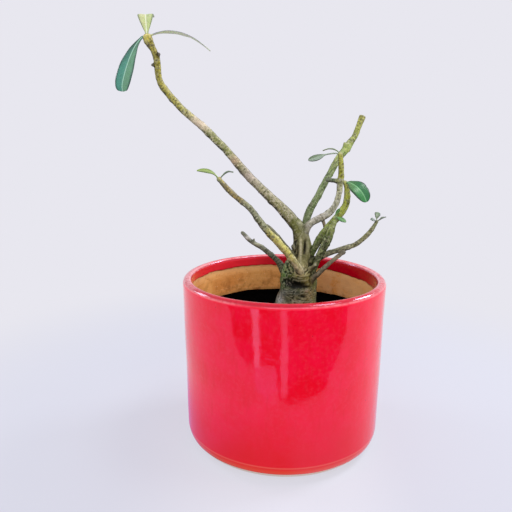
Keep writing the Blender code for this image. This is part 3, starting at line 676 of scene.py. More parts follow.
def clay_finish():
    """Bare fired clay with throwing lines, mineral specks and a damp band by the soil, paler at the foot."""
    f = Finish("bare_clay_finish")
    height = f.along("Z")
    rings = f.grain(1.6, 3, 0.6, f.stretched(f.place, (0.06, 0.06, 1)))
    clay = f.mix(f.span(f.grain(22, 4), 0.35, 0.68), shade("e4a45c"), shade("d08844"))
    clay = f.over(clay, "eeb878", f.span(rings, 0.5, 0.8, 0, 0.5))
    clay = f.over(clay, "ecbc86", f.zone(height, POT_HEIGHT - 15, POT_HEIGHT - 6, 0, 0.6))
    clay = f.over(clay, "b87038", f.span(f.grain(4, 5, 0.7), 0.5, 0.7, 0, 0.5))
    low = f.zone(height, POT_HEIGHT - 8, SOIL_LEVEL + 2)
    clay = f.over(clay, "9a5c2a", f.span(f.grain(7, 5, 0.65), 0.48, 0.66), low, 0.7)
    clay = f.over(clay, "fff0e0", f.zone(height, 9, 8))
    damp = f.zone(f.wandering(height, f.grain(8, 3), 3), SOIL_LEVEL + 4.5, SOIL_LEVEL + 1.5)
    clay = f.over(clay, "6a4528", damp, 0.35)
    clay = f.over(clay, "dcaa78", f.zone(f.along("X"), 10, 40), f.span(f.grain(12, 3), 0.4, 0.6), 0.6)
    clay = f.over(clay, "e8cfa8", f.span(f.cells(2.6), 0.14, 0.08), 0.5)
    grit = f.span(f.cells(1.9, f.stretched(f.place, (1.1, 0.9, 1.2))), 0.12, 0.07)
    clay = f.over(clay, "4a2c14", grit, 0.7)
    f.set(Base_Color=clay, Roughness=0.9, Normal=f.bump(f.grain(0.5, 3, 0.6), 0.05, f.bump(rings, 0.12)))
    f.set(Specular_IOR_Level=0.12)
    return f.material


def soil_finish():
    """Damp black potting mix."""
    f = Finish("dark_soil_finish")
    crumb = f.grain(1.4, 5, 0.65)
    soil = f.mix(f.span(crumb, 0.4, 0.7), shade("010101"), shade("050404"))
    soil = f.over(soil, "040405", f.span(f.grain(9, 3), 0.5, 0.7, 0, 0.5))
    fibre = f.grain(1.1, 2, 0.5, f.stretched(f.place, (0.2, 1, 1)), 1.5)
    soil = f.over(soil, "17120e", f.span(fibre, 0.66, 0.74, 0, 0.5))
    f.set(Base_Color=soil, Roughness=1.0, Specular_IOR_Level=0.0)
    f.set(Normal=f.bump(crumb, 0.5, f.bump(f.grain(0.5, 3, 0.7), 0.2)))
    return f.material


def bark_finish():
    """The plant's skin: its tone at each place, with mottling, pale pores and dots, painted shade in the
    folds and on edges that turn away, and a painted highlight on the ridges.
    """
    f = Finish("grey_green_bark_finish")
    around = f.attribute("bark_place", "Vector")
    patch = f.span(f.grain(1.8, 4, 0.65, around), 0.38, 0.64)
    bark = f.over(f.attribute("tone", "Color"), "a8ab96", patch, 0.5, blend="MULTIPLY")
    streak = f.span(f.grain(1.1, 4, 0.65, f.stretched(around, (1, 1, 0.4))), 0.5, 0.68, 0, 0.45)
    bark = f.over(bark, "8f8a78", streak, blend="MULTIPLY")
    pores = f.span(f.cells(1.7, f.stretched(around, (0.7, 0.7, 1.5))), 0.26, 0.12, 0, 0.45)
    bark = f.mix(pores, bark, (2.2, 2.1, 2.0, 1), "MULTIPLY")
    dots = f.span(f.cells(2.2, f.stretched(around, (1.1, 1, 0.9))), 0.15, 0.08, 0, 0.7)
    bark = f.over(bark, "2e2a1c", dots)
    # Painted shade: darker in the skin's folds and hollows.
    bark = f.over(bark, "12120a", f.attribute("fold_shade"), 0.8)
    # Painted highlight: paler on the skin's ridges.
    bark = f.mix(f.times(f.attribute("ridge_highlight"), 0.3), bark, f.mix(0.6, bark, shade("dcd8bc")))
    # Painted shade: darker where the skin turns edge-on to the view, as dark outlines.
    painted_edge_shade = f.node("LayerWeight").outputs["Facing"]
    bark = f.over(bark, "545230", f.span(painted_edge_shade, 0.45, 0.9, 0, 0.8), blend="MULTIPLY")
    relief = f.bump(f.grain(0.9, 4, 0.6, f.stretched(around, (1, 1, 0.5))), 0.16)
    relief = f.bump(f.math("ADD", pores, f.times(dots, -0.6)), 0.08, relief)
    f.set(Base_Color=bark, Roughness=f.span(patch, 0, 1, 0.5, 0.66), Normal=relief)
    f.set(Specular_IOR_Level=0.14)
    return f.material


def leaf_finish(name, paler):
    """A leaf's upper side, or its paler underside: midrib, side veins and margin over the leaf's tint."""
    f = Finish(name)
    rib = f.attribute("rib_tint", "Color")
    edge = f.attribute("edge")
    place = f.node("UVMap", uv_map="blade").outputs[0]
    across = f.math("ABSOLUTE", f.math("SUBTRACT", f.along("X", place), 0.5))
    slant = f.math("ADD", f.along("Y", place), f.times(f.grain(2.5, 2), 0.012))
    slant = f.math("SUBTRACT", slant, f.times(across, VEIN_SLANT))
    turn = f.math("FRACT", f.times(slant, VEINS))
    vein = f.span(f.math("ABSOLUTE", f.math("SUBTRACT", turn, 0.5)), 0.16, 0.02)
    vein = f.times(vein, f.span(edge, 0.95, 0.4), f.span(f.grain(5, 2), 0.4, 0.6, 0.3, 1))
    cloud = f.span(f.grain(2.4, 3, 0.5), 0.35, 0.7, 0, 0.25)
    green = f.over(f.attribute("tint", "Color"), "b0b8a8", cloud, blend="MULTIPLY")
    green = f.mix(f.times(vein, 0.12 if paler else 0.06), green, rib)
    green = f.mix(f.times(f.span(edge, 0.7, 0.97), 0.95), green, f.attribute("margin_tint", "Color"))
    green = f.mix(f.times(f.span(across, 0.014, 0.005), 0.8), green, rib)
    if paler:
        green = f.over(green, "ccd4b0", 0.5)
    relief = f.bump(vein, -0.03 if paler else 0.02, f.bump(f.grain(0.6, 3), 0.012))
    f.set(Base_Color=green, Roughness=0.46 if paler else 0.36, Normal=relief, Specular_IOR_Level=0.4)
    f.set(Subsurface_Weight=0.12, Subsurface_Scale=0.6 * MM, Subsurface_Radius=(0.4, 1.0, 0.25))
    return f.material


def smooth_route(route, spacing):
    """Points of a Catmull-Rom curve through a route of (x, y, z, radius), about this far apart."""
    points = [Vector(point) for point in route]
    points = [2 * points[0] - points[1], *points, 2 * points[-1] - points[-2]]
    made = []
    for before, start, end, after in zip(points, points[1:], points[2:], points[3:]):
        pieces = max(1, round((end.xyz - start.xyz).length / spacing))
        for t in [i / pieces for i in range(pieces)]:
            bend = 2 * before - 5 * start + 4 * end - after
            twist = 3 * start - before - 3 * end + after
            made.append(start + (t * (end - before) + t**2 * bend + t**3 * twist) / 2)
    return made + [points[-2]]


def heading(points, i):
    """The direction of a line of points at one of them."""
    return (points[min(i + 1, len(points) - 1)].xyz - points[max(i - 1, 0)].xyz).normalized()


def turning(points):
    """The direction and a steady side at each point of a route, turned no more than its bends ask."""
    ways = [heading(points, i) for i in range(len(points))]
    sides = [ways[0].orthogonal().normalized()]
    for way in ways[1:]:
        sides.append((sides[-1] - way * sides[-1].dot(way)).normalized())
    return list(zip(ways, sides))


def ramp(value, start, end):
    """0 at the start and 1 at the end, straight between them and held beyond."""
    return np.clip((value - start) / (end - start), 0, 1)


def as_object(bm, name):
    """A new object of this mesh, shaded smooth, at the origin."""
    mesh = bpy.data.meshes.new(name)
    bm.to_mesh(mesh)
    bm.free()
    mesh.shade_smooth()
    made = bpy.data.objects.new(name, mesh)
    bpy.context.scene.collection.objects.link(made)
    return made


def settle(obj):
    """Replaces an object's mesh by what its modifiers make of it."""
    bpy.context.view_layer.update()
    graph = bpy.context.evaluated_depsgraph_get()
    finished = obj.evaluated_get(graph)
    mesh = bpy.data.meshes.new_from_object(finished, preserve_all_data_layers=True, depsgraph=graph)
    obj.modifiers.clear()
    obj.data = mesh
    return obj


def sort_by_place(bm):
    """Sorts a turned mesh's points, edges and faces by place, because spin orders them anew each run."""
    slant = Vector(SORTING_SLANT)
    bm.verts.sort(key=lambda vertex: vertex.co.dot(slant))
    bm.edges.sort(key=lambda edge: (edge.verts[0].co + edge.verts[1].co).dot(slant))
    bm.faces.sort(key=lambda face: face.calc_center_median().dot(slant))


def turned(profile, steps):
    """A solid of revolution about Z from a profile of (radius, height)."""
    bm = bmesh.new()
    points = [bm.verts.new((radius * MM, 0, height * MM)) for radius, height in profile]
    edges = [bm.edges.new(pair) for pair in zip(points, points[1:])]
    bmesh.ops.spin(
        bm, geom=points + edges, cent=(0, 0, 0), axis=(0, 0, 1), angle=math.tau, steps=steps, use_merge=True
    )
    bmesh.ops.remove_doubles(bm, verts=bm.verts, dist=WELD * MM)
    bmesh.ops.recalc_face_normals(bm, faces=bm.faces)
    sort_by_place(bm)
    return bm


def arc(centre, radius, start, end, steps):
    """Points on an arc in the X-Z plane, angles in degrees from +X."""
    angles = [math.radians(start + (end - start) * i / steps) for i in range(steps + 1)]
    return [(centre[0] + radius * math.cos(a), centre[1] + radius * math.sin(a)) for a in angles]


def line(start, end, steps):
    """Points from start up to, but without, end."""
    return [tuple(a + (b - a) * i / steps for a, b in zip(start, end)) for i in range(steps)]


def inner_wall(height):
    """The radius of the pot's inner wall at a height."""
    top = RIM_RADIUS - WALL + GLAZE
    return INNER_FOOT_RADIUS + (top - INNER_FOOT_RADIUS) * (height - FLOOR) / (POT_HEIGHT - FLOOR)


def inner_corner():
    """The centre of the round between the pot's floor and its inner wall."""
    return inner_wall(FLOOR + INNER_CORNER) - INNER_CORNER, FLOOR + INNER_CORNER


def outside(inset, lip_end, heel_turn):
    """The pot's outside, drawn in by an inset, from a height inside the lip to a turn round the heel."""
    lip, inner, outer = RIM_RADIUS - WALL, RIM_ROUND_INSIDE, RIM_ROUND_OUTSIDE
    wall_foot = (HEEL_RADIUS - inset, HEEL_HEIGHT + HEEL_EASE)
    path = line((lip + inset, lip_end), (lip + inset, POT_HEIGHT - inner), 8)
    path += arc((lip + inner, POT_HEIGHT - inner), inner - inset, 180, 90, 6)
    path += arc((RIM_RADIUS - outer, POT_HEIGHT - outer), outer - inset, 90, 0, 10)[:-1]
    path += line((RIM_RADIUS - inset, POT_HEIGHT - outer), wall_foot, 40)
    path += [wall_foot]
    for along, up in arc((0, 0), 1, 0, heel_turn, 14):
        radius = FOOT_RADIUS + (HEEL_RADIUS - FOOT_RADIUS - inset) * along
        path.append((radius, HEEL_HEIGHT - (HEEL_HEIGHT - inset) * up))
    return path


def unevenness(angle, height, size, seed):
    """Smooth hand-made unevenness, from -1 to 1, round the pot."""
    turn = Vector((math.cos(angle), math.sin(angle), 0)) * RIM_RADIUS / size
    return noise.noise(turn + Vector((seed, 0, height / size)))


def hand_shape(bm, glazed=False):
    """Gives a turned wall the slight unevenness of a hand-made pot, and the glaze's ends their wavy line."""
    for vertex in bm.verts:
        x, y, z = vertex.co / MM
        radius = math.hypot(x, y)
        if radius < 1:
            continue
        angle = math.atan2(y, x)
        broad = BROAD_WAVE * (1 + unevenness(angle, z, 38, 3))
        drawn = 1 - (broad + FINE_WAVE * (1 + unevenness(angle, z, 7, 9))) / radius
        drop = 0.0
        if glazed and radius < RIM_RADIUS - WALL + 2 and z < POT_HEIGHT - LIP_WANDER:
            share = (POT_HEIGHT - LIP_WANDER - z) / (GLAZE_DEPTH - LIP_WANDER)
            drop = share * GLAZE_WAVE * (unevenness(angle, 0, 16, 5) + 0.5 * unevenness(angle, 0, 5, 6))
            drop -= share * GLAZE_TILT * math.cos(angle + 0.3)
        if glazed and z < FOOT_WANDER:
            share = (FOOT_WANDER - z) / FOOT_WANDER
            drop = share * 0.6 * GLAZE_WAVE * (unevenness(angle, 0, 20, 11) - 0.2)
        vertex.co = Vector((x * drawn, y * drawn, max(z + drop, 0))) * MM


def drill():
    """The three cylinders that cut the drain holes."""
    bm = bmesh.new()
    size = DRAIN_RADIUS * MM
    for i in range(DRAIN_HOLES):
        angle = 2 * math.pi * i / DRAIN_HOLES + math.pi / 2
        place = Matrix.Translation(Vector((math.cos(angle), math.sin(angle), 0)) * DRAIN_CIRCLE * MM)
        bmesh.ops.create_cone(
            bm, cap_ends=True, segments=32, radius1=size, radius2=size, depth=4 * FLOOR * MM, matrix=place
        )
    return as_object(bm, "drain_drill")


def make_clay_body():
    """The clay of the pot, from the middle of its floor up the inside, over the rim and down to the foot."""
    corner = inner_corner()
    start, end = corner[1], POT_HEIGHT - GLAZE_DEPTH - 3
    profile = line((0, FLOOR), (corner[0], FLOOR), 12)
    profile += arc(corner, INNER_CORNER, -90, 0, 8)
    profile += line((inner_wall(start), start + 2), (inner_wall(end), end), 44)
    profile += [(inner_wall(end), end), (RIM_RADIUS - WALL + GLAZE, end + 2)]
    profile += outside(GLAZE, POT_HEIGHT - GLAZE_DEPTH + 1, CLAY_HEEL_TURN)
    profile += [(FOOT_RADIUS + 0.6, 0.25), (FOOT_RADIUS, 0), (FOOT_RADIUS - FOOT_RING, 0)]
    profile += [(FOOT_RADIUS - FOOT_RING - 1, HOLLOW), (0, HOLLOW)]
    bm = turned(profile, POT_STEPS)
    hand_shape(bm)
    body = as_object(bm, "pot_clay_body")
    holes = drill()
    cut = body.modifiers.new("drain", "BOOLEAN")
    cut.object = holes
    settle(body)
    bpy.data.objects.remove(holes)
    return body


def make_glaze():
    """The glaze coat: a closed skin over the rim and the outside, with rounded ends."""
    lip_end = POT_HEIGHT - GLAZE_DEPTH
    heel_turn = math.degrees(math.asin(1 - GLAZE_FOOT / HEEL_HEIGHT))
    skin = outside(0, lip_end, heel_turn)
    back = outside(GLAZE + GLAZE_BACK, lip_end, heel_turn)
    bm = turned([*skin, *reversed(back), skin[0]], POT_STEPS)
    hand_shape(bm, True)
    return as_object(bm, "pot_red_glaze")


def soil_rise(x, y):
    """How far the crumbly surface stands above or below its level here."""
    broad = 0.5 * noise.noise(Vector((x / 14, y / 14, 0.5)))
    lumps = 0.35 * noise.noise(Vector((x / 4, y / 4, 2.5)))
    grains = 0.2 * abs(noise.noise(Vector((x / 1.4, y / 1.4, 4.5))))
    return broad + lumps + grains - 0.2


def make_soil():
    """The potting mix, from the pot's floor up to its crumbly surface."""
    edge = inner_wall(SOIL_LEVEL) - 0.15
    profile = [(0, FLOOR + SOIL_GAP), *arc(inner_corner(), INNER_CORNER - SOIL_GAP, -90, 0, 6)]
    profile += [(edge, SOIL_LEVEL - 1), (edge - 0.3, SOIL_LEVEL)]
    profile += line((edge - 0.9, SOIL_LEVEL), (0, SOIL_LEVEL), 70) + [(0, SOIL_LEVEL)]
    bm = turned(profile, SOIL_STEPS)
    for vertex in bm.verts:
        x, y, z = vertex.co / MM
        if z > SOIL_LEVEL - WELD:
            vertex.co.z = (SOIL_LEVEL + soil_rise(x, y)) * MM
    return as_object(bm, "potting_soil")


def make_crumbs():
    """Loose crumbs and chips of peat on the soil."""
    draw = random.Random(7)
    bm = bmesh.new()
    for _ in range(CRUMBS):
        angle = draw.uniform(0, 2 * math.pi)
        reach = (inner_wall(SOIL_LEVEL) - 2.5) * math.sqrt(draw.random())
        x, y = reach * math.cos(angle), reach * math.sin(angle)
        size = draw.uniform(0.3, 0.7) * (2.0 if draw.random() < LARGE_CRUMBS else 1.0)
        grown = bmesh.ops.create_icosphere(bm, subdivisions=1, radius=size * MM)["verts"]
        for vertex in grown:
            vertex.co *= draw.uniform(0.75, 1.2)
        spin = Matrix.Rotation(draw.uniform(0, 6.28), 4, "Z")
        lean = Matrix.Rotation(draw.uniform(-0.6, 0.6), 4, "X")
        flat = Matrix.Diagonal((1, draw.uniform(0.5, 1), draw.uniform(0.4, 0.8), 1))
        rest = Vector((x, y, SOIL_LEVEL + soil_rise(x, y) + 0.15 * size)) * MM
        bmesh.ops.transform(bm, matrix=Matrix.Translation(rest) @ spin @ lean @ flat, verts=grown)
    return as_object(bm, "soil_crumbs")


def tube(route, spacing, sides, cut):
    """A tube of varying radius: a ring extruded along a route from point to point, to a round or cut end."""
    points = smooth_route(route, spacing)
    frames = turning(points)
    stations = [(point.xyz, point.w, *turn) for point, turn in zip(points, frames)]
    end, radius, way, side = stations[-1]
    for ahead, wide in [] if cut else ROUND_END:
        stations.append((end + way * radius * ahead, radius * wide, way, side))
    places = []
    for centre, radius, way, side in stations:
        turn = Matrix((side, way.cross(side), way)).transposed().to_4x4()
        places.append(Matrix.Translation(centre * MM) @ turn @ Matrix.Scale(radius * MM, 4))
    bm = bmesh.new()
    bmesh.ops.create_circle(bm, cap_ends=True, segments=sides, radius=1, matrix=places[0])
    face = next(iter(bm.faces))
    for before, after in zip(places, places[1:]):
        grown = bmesh.ops.extrude_face_region(bm, geom=[face])["geom"]
        face = next(part for part in grown if isinstance(part, bmesh.types.BMFace))
        bmesh.ops.transform(bm, matrix=after @ before.inverted(), verts=face.verts[:])
    bmesh.ops.recalc_face_normals(bm, faces=bm.faces)
    return bm


def rib_the_foot(bm):
    """Raises soft ribs on the foot above the soil, by a formula of height and angle."""
    for vertex in bm.verts:
        x, y, z = vertex.co / MM
        angle = math.atan2(y, x - FOOT_AXIS)
        scale = 1 + RIB_DEPTH * ramp(z, RIB_START, RIB_FULL) * math.cos(RIBS * angle + RIB_TWIST * z)
        vertex.co.x = (FOOT_AXIS + (x - FOOT_AXIS) * scale) * MM
        vertex.co.y = y * scale * MM


def bud(branch):
    """The centre and radius of the round bud that ends a branch which still bears leaves."""
    x, y, z, radius = BRANCHES[branch][-1]
    return Vector((x, y, z)), radius + BUD_SWELL


def fused_plant():
    """The foot and every branch, fused into one skin of even faces with soft crotches."""
    foot = tube(FOOT_ROUTE, 1.0, 48, True)
    rib_the_foot(foot)
    whole = bmesh.new()
    for part in [foot, *[tube(route, 1.2, 20, name in CUT_ENDS) for name, route in BRANCHES.items()]]:
        mesh = bpy.data.meshes.new("part")
        part.to_mesh(mesh)
        part.free()
        whole.from_mesh(mesh)
        bpy.data.meshes.remove(mesh)
    for branch in sorted({leaf.branch for leaf in LEAVES.values()}):
        centre, radius = bud(branch)
        place = Matrix.Translation(centre * MM)
        bmesh.ops.create_icosphere(whole, subdivisions=3, radius=radius * MM, matrix=place)
    plant = as_object(whole, "caudex_and_branches_skin")
    fuse = plant.modifiers.new("fuse", "REMESH")
    fuse.mode = "VOXEL"
    fuse.voxel_size = SKIN * MM
    soften = plant.modifiers.new("soften", "SMOOTH")
    soften.factor = 0.5
    soften.iterations = 6 if SKIN < 1 else 2
    return settle(plant)


def scar_places():
    """Where leaves have dropped: the places and sizes of the scars, in a spiral along each branch."""
    places = []
    for name in SCARRED:
        for spacing, size in ((SCAR_SPACING, 1.0), (SCAR_SPACING * 0.37, 0.55)):
            points = smooth_route(BRANCHES[name], spacing)
            for i in range(3, len(points) - 2):
                along = heading(points, i)
                side = along.orthogonal().normalized()
                out = math.cos(i * GOLDEN_ANGLE) * side + math.sin(i * GOLDEN_ANGLE) * along.cross(side)
                places.append((points[i].xyz + out * points[i].w, size))
    return places


def noise_at(points, size, seed):
    """Smooth noise from -1 to 1 at each point. Size is its features' millimetres, in all or for each axis."""
    shift = Vector((seed, seed * 0.7, seed * 1.3))
    scaled = points / np.array(size)
    return np.array([noise.noise(Vector(p) + shift) for p in scaled])


def measured(route):
    """A route's points 1 mm apart: their places, radii, directions, sides and how far along they lie."""
    points = smooth_route(route, 1.0)
    ways, sides = [np.array(turns) for turns in zip(*turning(points))]
    middles = np.array([p.xyz for p in points])
    steps = np.linalg.norm(np.diff(middles, axis=0), axis=1)
    return middles, np.array([p.w for p in points]), ways, sides, np.concatenate([[0], np.cumsum(steps)])


class Skin:
    """The plant's skin as arrays in millimetres, with each point's branch, place along it and tone."""

    def __init__(self, mesh):
        self.mesh = mesh
        self.count = len(mesh.vertices)
        self.points = self.read("co") / MM
        self.normals = self.read("normal")
        self.find_branches()

    def read(self, what):
        values = np.zeros(self.count * 3)
        self.mesh.vertices.foreach_get(what, values)
        return values.reshape(-1, 3)

    def write(self, name, kind, field, values):
        layer = self.mesh.attributes.new(name, kind, "POINT")
        layer.data.foreach_set(field, values.astype(np.float32).ravel())

    def find_branches(self):
        """Blends the tones of the branches near each point, and keeps the nearest one's own coordinates."""
        nearest = np.full(self.count, 1e9)
        total = np.zeros(self.count)
        self.tone = np.zeros((self.count, 3))
        self.around = np.zeros((self.count, 3))
        self.branch = np.zeros(self.count, "U16")
        self.share = np.zeros(self.count)
        for number, (name, route) in enumerate([("foot", FOOT_ROUTE), *BRANCHES.items()]):
            middles, radii, ways, sides, travelled = measured(route)
            reach = radii.max() + SKIN_REACH
            low, high = middles.min(0) - reach, middles.max(0) + reach
            close = np.nonzero(((self.points > low) & (self.points < high)).all(1))[0]
            offsets = self.points[close][:, None, :] - middles[None, :, :]
            beyond = np.linalg.norm(offsets, axis=2) - radii[None, :]
            best = beyond.argmin(1)
            rows = np.arange(len(close))
            gap = beyond[rows, best]
            stops = [share for share, _ in BARK_TONES[name]]
            tones = np.array([shade(code)[:3] for _, code in BARK_TONES[name]])
            share = travelled[best] / travelled[-1]
            colour = np.stack([np.interp(share, stops, tones[:, k]) for k in range(3)], 1)
            weight = np.exp(-((np.maximum(gap, 0) / BLEND) ** 2)) + 1e-9
            total[close] += weight
            self.tone[close] += colour * weight[:, None]
            nearer = gap < nearest[close]
            mine, station = close[nearer], best[nearer]
            nearest[mine] = gap[nearer]
            offset = offsets[rows[nearer], station]
            first = (offset * sides[station]).sum(1)
            second = (offset * np.cross(ways[station], sides[station])).sum(1)
            self.around[mine] = np.stack([first, second, travelled[station] + PATTERN_STEP * number], 1)
            self.branch[mine] = name
            self.share[mine] = share[nearer]
        self.is_foot = self.branch == "foot"
        self.tone /= np.maximum(total, 1e-9)[:, None]

    def push(self, amount):
        """Moves each point out along its normal by this many millimetres."""
        self.points += self.normals * amount[:, None]

    def near(self, centre, reach):
        """A soft mask: 1 at the centre, fading over the reach."""
        away = np.linalg.norm((self.points - np.array(centre)) / np.array(reach), axis=1)
        return np.exp(-(away**2))

    def paint(self, mask, code):
        """Lays a tone over the skin where the mask is."""
        colour = np.array(shade(code)[:3])
        mask = np.clip(mask, 0, 1)[:, None]
        self.tone = self.tone * (1 - mask) + colour * mask

    def paint_light_and_shade(self):
        """Paints a lilac grey highlight on what faces the light, and dark green shade on what faces the
        ground.
        """
        sky = self.normals @ PAINTED_LIGHT_SIDE
        patchy = 0.75 + 0.5 * noise_at(self.points, 3, 21)
        fairness = np.clip(self.tone.mean(1) / 0.24, 0, 1.2)
        # Painted highlight: lilac grey on what faces the light. Painted shade: dark green on what faces the
        # ground.
        self.paint(0.32 * ~self.is_foot * fairness * ramp(sky, 0.4, 0.9) * patchy, "ccc2c8")
        self.paint(np.where(self.is_foot, 0.4, 1.2) * ramp(sky, 0.1, -0.45) * (1.6 - patchy), "161c08")

    def blotch(self, branch, start, end, across, along, amount, strength, code):
        """Scatters blotches of a tone over a stretch of a branch; more of them for a higher amount."""
        here = np.nonzero((self.branch == branch) & (self.share >= start) & (self.share <= end))[0]
        seed = 6 + 7 * start + 3 * amount
        spread = noise_at(self.around[here], (across, across, along), seed)
        edge = 0.55 - 1.1 * amount
        mask = np.zeros(self.count)
        mask[here] = strength * ramp(spread, edge, edge + 0.22)
        self.paint(mask, code)

    def sunk(self, rounds):
        """How far each point lies below the mean of its neighbours, taken over this many rounds."""
        ends = np.zeros(len(self.mesh.edges) * 2, np.int32)
        self.mesh.edges.foreach_get("vertices", ends)
        first, second = ends.reshape(-1, 2).T
        degree = np.bincount(ends, minlength=self.count)[:, None]
        values = self.points
        for _ in range(rounds):
            mean = np.zeros_like(values)
            for k in range(3):
                mean[:, k] = np.bincount(first, values[second, k], self.count)
                mean[:, k] += np.bincount(second, values[first, k], self.count)
            values = mean / degree
        return ((values - self.points) * self.normals).sum(1)

    def finish(self):
        """Writes the shape back, and the tone, the painted shade of the folds, the painted highlight of the
        ridges and the branch coordinates as attributes.
        """
        self.mesh.vertices.foreach_set("co", (self.points * MM).ravel())
        self.mesh.update()
        self.normals = self.read("normal")
        rounds = 2 if SKIN < 1 else 1
        fine, wide = self.sunk(rounds), self.sunk(10 * rounds)
        fold_shade_share = fine / FINE_FOLD + (wide - WIDE_START) / WIDE_FOLD
        self.write("fold_shade", "FLOAT", "value", np.clip(fold_shade_share, 0, 1))
        self.write("ridge_highlight", "FLOAT", "value", np.clip(-fine / (RIDGE * SKIN) - 0.25, 0, 1))
        self.write("bark_place", "FLOAT_VECTOR", "vector", self.around * MM)
        self.write("tone", "FLOAT_COLOR", "color", np.concatenate([self.tone, np.ones((self.count, 1))], 1))


def scar_relief(skin):
    """How far the scars of dropped leaves raise each point, and how much it lies in a scar's dark eye."""
    places = scar_places()
    tree = KDTree(len(places))
    for i, (place, _) in enumerate(places):
        tree.insert(place, i)
    tree.balance()
    raised = np.zeros(skin.count)
    eye = np.zeros(skin.count)
    for i, point in enumerate(skin.points):
        _, which, away = tree.find(point)
        size = places[which][1]
        if away < SCAR_REACH:
            share = (away / (SCAR_SIZE * size)) ** 2
            raised[i] = size * (0.55 * math.exp(-share) - 0.3 * math.exp(-share * 5))
            eye[i] = math.exp(-share * 3)
    return raised * ~skin.is_foot, eye * ~skin.is_foot


def sculpt_branches(skin):
    """Lumps, cross wrinkles and the scars of dropped leaves, painted light and shade, and the bark's
    blotches.
    """
    lumps = 0.26 * noise_at(skin.points, 5.5, 1)
    skin.push(lumps)
    ridges = 0.16 * noise_at(skin.around, (2.2, 2.2, 6), 2)
    skin.push(ridges)
    wrinkles = np.where(skin.is_foot, 0.05, 0.13) * noise_at(skin.around, (3.5, 3.5, 1.3), 4)
    skin.push(wrinkles)
    raised, eye = scar_relief(skin)
    skin.push(raised)
    skin.paint_light_and_shade()
    for branch, blotches in BLOTCHES.items():
        for blotch in blotches:
            skin.blotch(branch, *blotch)
    skin.paint(0.7 * eye, "3a361f")
    for place, reach, strength, code in BRANCH_MARKS:
        skin.paint(strength * skin.near(place, reach), code)


def fan_of_folds(skin, above):
    """Where the folds under the front branch lie, and their wave: 1 on a fold and -1 between two."""
    x, y, z = skin.points.T
    middle, stretch = FOLDS
    down = np.linalg.norm((skin.points - np.array(middle)) / np.array(stretch), axis=1)
    down += 0.9 * noise_at(skin.points, 6, 31)
    broken = np.clip(0.5 + 2.4 * noise_at(skin.points, (2.6, 2.6, 2.2), 33), 0, 1) * ramp(x, 18, 15)
    fan = above * ramp(y, -4, -8) * (z < middle[2]) * np.exp(-(((down - 6.5) / 3.2) ** 2)) * broken
    return fan, np.cos(down * 2 * math.pi / FOLD_SPACING)


def stain_foot(skin, above):
    """Dull and pale patches on the foot, its green left side, and the moss and dirt that cling there."""
    x, _, z = skin.points.T
    skin.paint(above * 0.6 * np.clip(noise_at(skin.points, (2.6, 2.6, 3.4), 41) * 2 - 0.1, 0, 1), "5a5c3a")
    skin.paint(above * 0.5 * np.clip(noise_at(skin.points, (1.8, 1.8, 2.2), 43) * 2 - 0.2, 0, 1), "b0aa84")
    green = ramp(x, 3.2, -0.8) * ramp(z, 108, 112) * ramp(z, 130, 126)
    skin.paint(0.8 * green * skin.is_foot, "4c7034")
    grime = noise_at(skin.points, (1.7, 1.7, 1.9), 61)
    moss = ramp(x, 9, 4) * ramp(z, 111, 114) * ramp(z, 131, 127) * skin.is_foot
    dirt = np.clip(grime * 3, 0, 1)
    skin.paint(1.2 * moss * dirt, "16220c")
    skin.paint(0.9 * moss * np.clip(-grime * 3 - 0.3, 0, 1), "7c9048")
    skin.push(-0.4 * moss * dirt)
    skin.paint(0.5 * ramp(x, 18.5, 20.5) * ramp(z, 124, 118) * skin.is_foot, "6c7440")


def sculpt_foot(skin):
    """The swollen foot's fluting, wrinkles, folds and hollows, each with its own tone: painted shade in the
    hollows, between the folds and in the cracks, and painted highlights on the folds' crests.
    """
    _, y, z = skin.points.T
    above = ramp(z, 86, 92) * ramp(z, 152, 144) * skin.is_foot
    fluting = above * 0.6 * noise_at(skin.points, (4.5, 4.5, 14), 8)
    skin.push(fluting)
    wrinkles = above * 0.25 * noise_at(skin.points, (2.2, 2.2, 4), 12)
    skin.push(wrinkles)
    cracks = np.abs(noise_at(skin.points, (4.5, 4.5, 1.5), 15))
    cracked = above * ramp(z, 114, 109) * ramp(z, 96, 102) * ramp(cracks, 0.12, 0)
    skin.push(-0.4 * cracked)
    fan, wave = fan_of_folds(skin, above)
    skin.push(fan * 0.42 * wave)
    stain_foot(skin, above)
    # Painted highlight on the folds' crests, and painted shade between them and in the cracks.
    skin.paint(0.8 * fan * np.clip(wave, 0, 1), "b0a65c")
    skin.paint(0.9 * fan * np.clip(-wave, 0, 1), "1c2014")
    skin.paint(0.5 * cracked, "2a271c")
    uneven = noise_at(skin.points, 2.2, 51)
    # Dark tones laid into the sunk hollows are painted shade.
    for place, reach, push, strength, code in FOOT_FORMS:
        mask = skin.near(place, reach) * (y < 0) * np.where(skin.is_foot, 1.0, 0.5)
        skin.push(push * mask)
        skin.paint(strength * mask * (1 + 0.45 * uneven), code)


def make_plant():
    plant = fused_plant()
    skin = Skin(plant.data)
    sculpt_branches(skin)
    sculpt_foot(skin)
    skin.finish()
    plant.data.shade_smooth()
    return plant


def outline(share, leaf):
    """A leaf's width at a share of its length, as a share of its greatest width."""
    if share <= leaf.stalk:
        return STALK_WIDTH
    if share < leaf.widest:
        rise = math.sin(math.pi / 2 * (share - leaf.stalk) / (leaf.widest - leaf.stalk))
        return STALK_WIDTH + (1 - STALK_WIDTH) * rise**1.15
    rest = max(0, math.cos(math.pi / 2 * (share - leaf.widest) / (1 - leaf.widest)))
    return max(TIP_WIDTH, rest**leaf.tip)


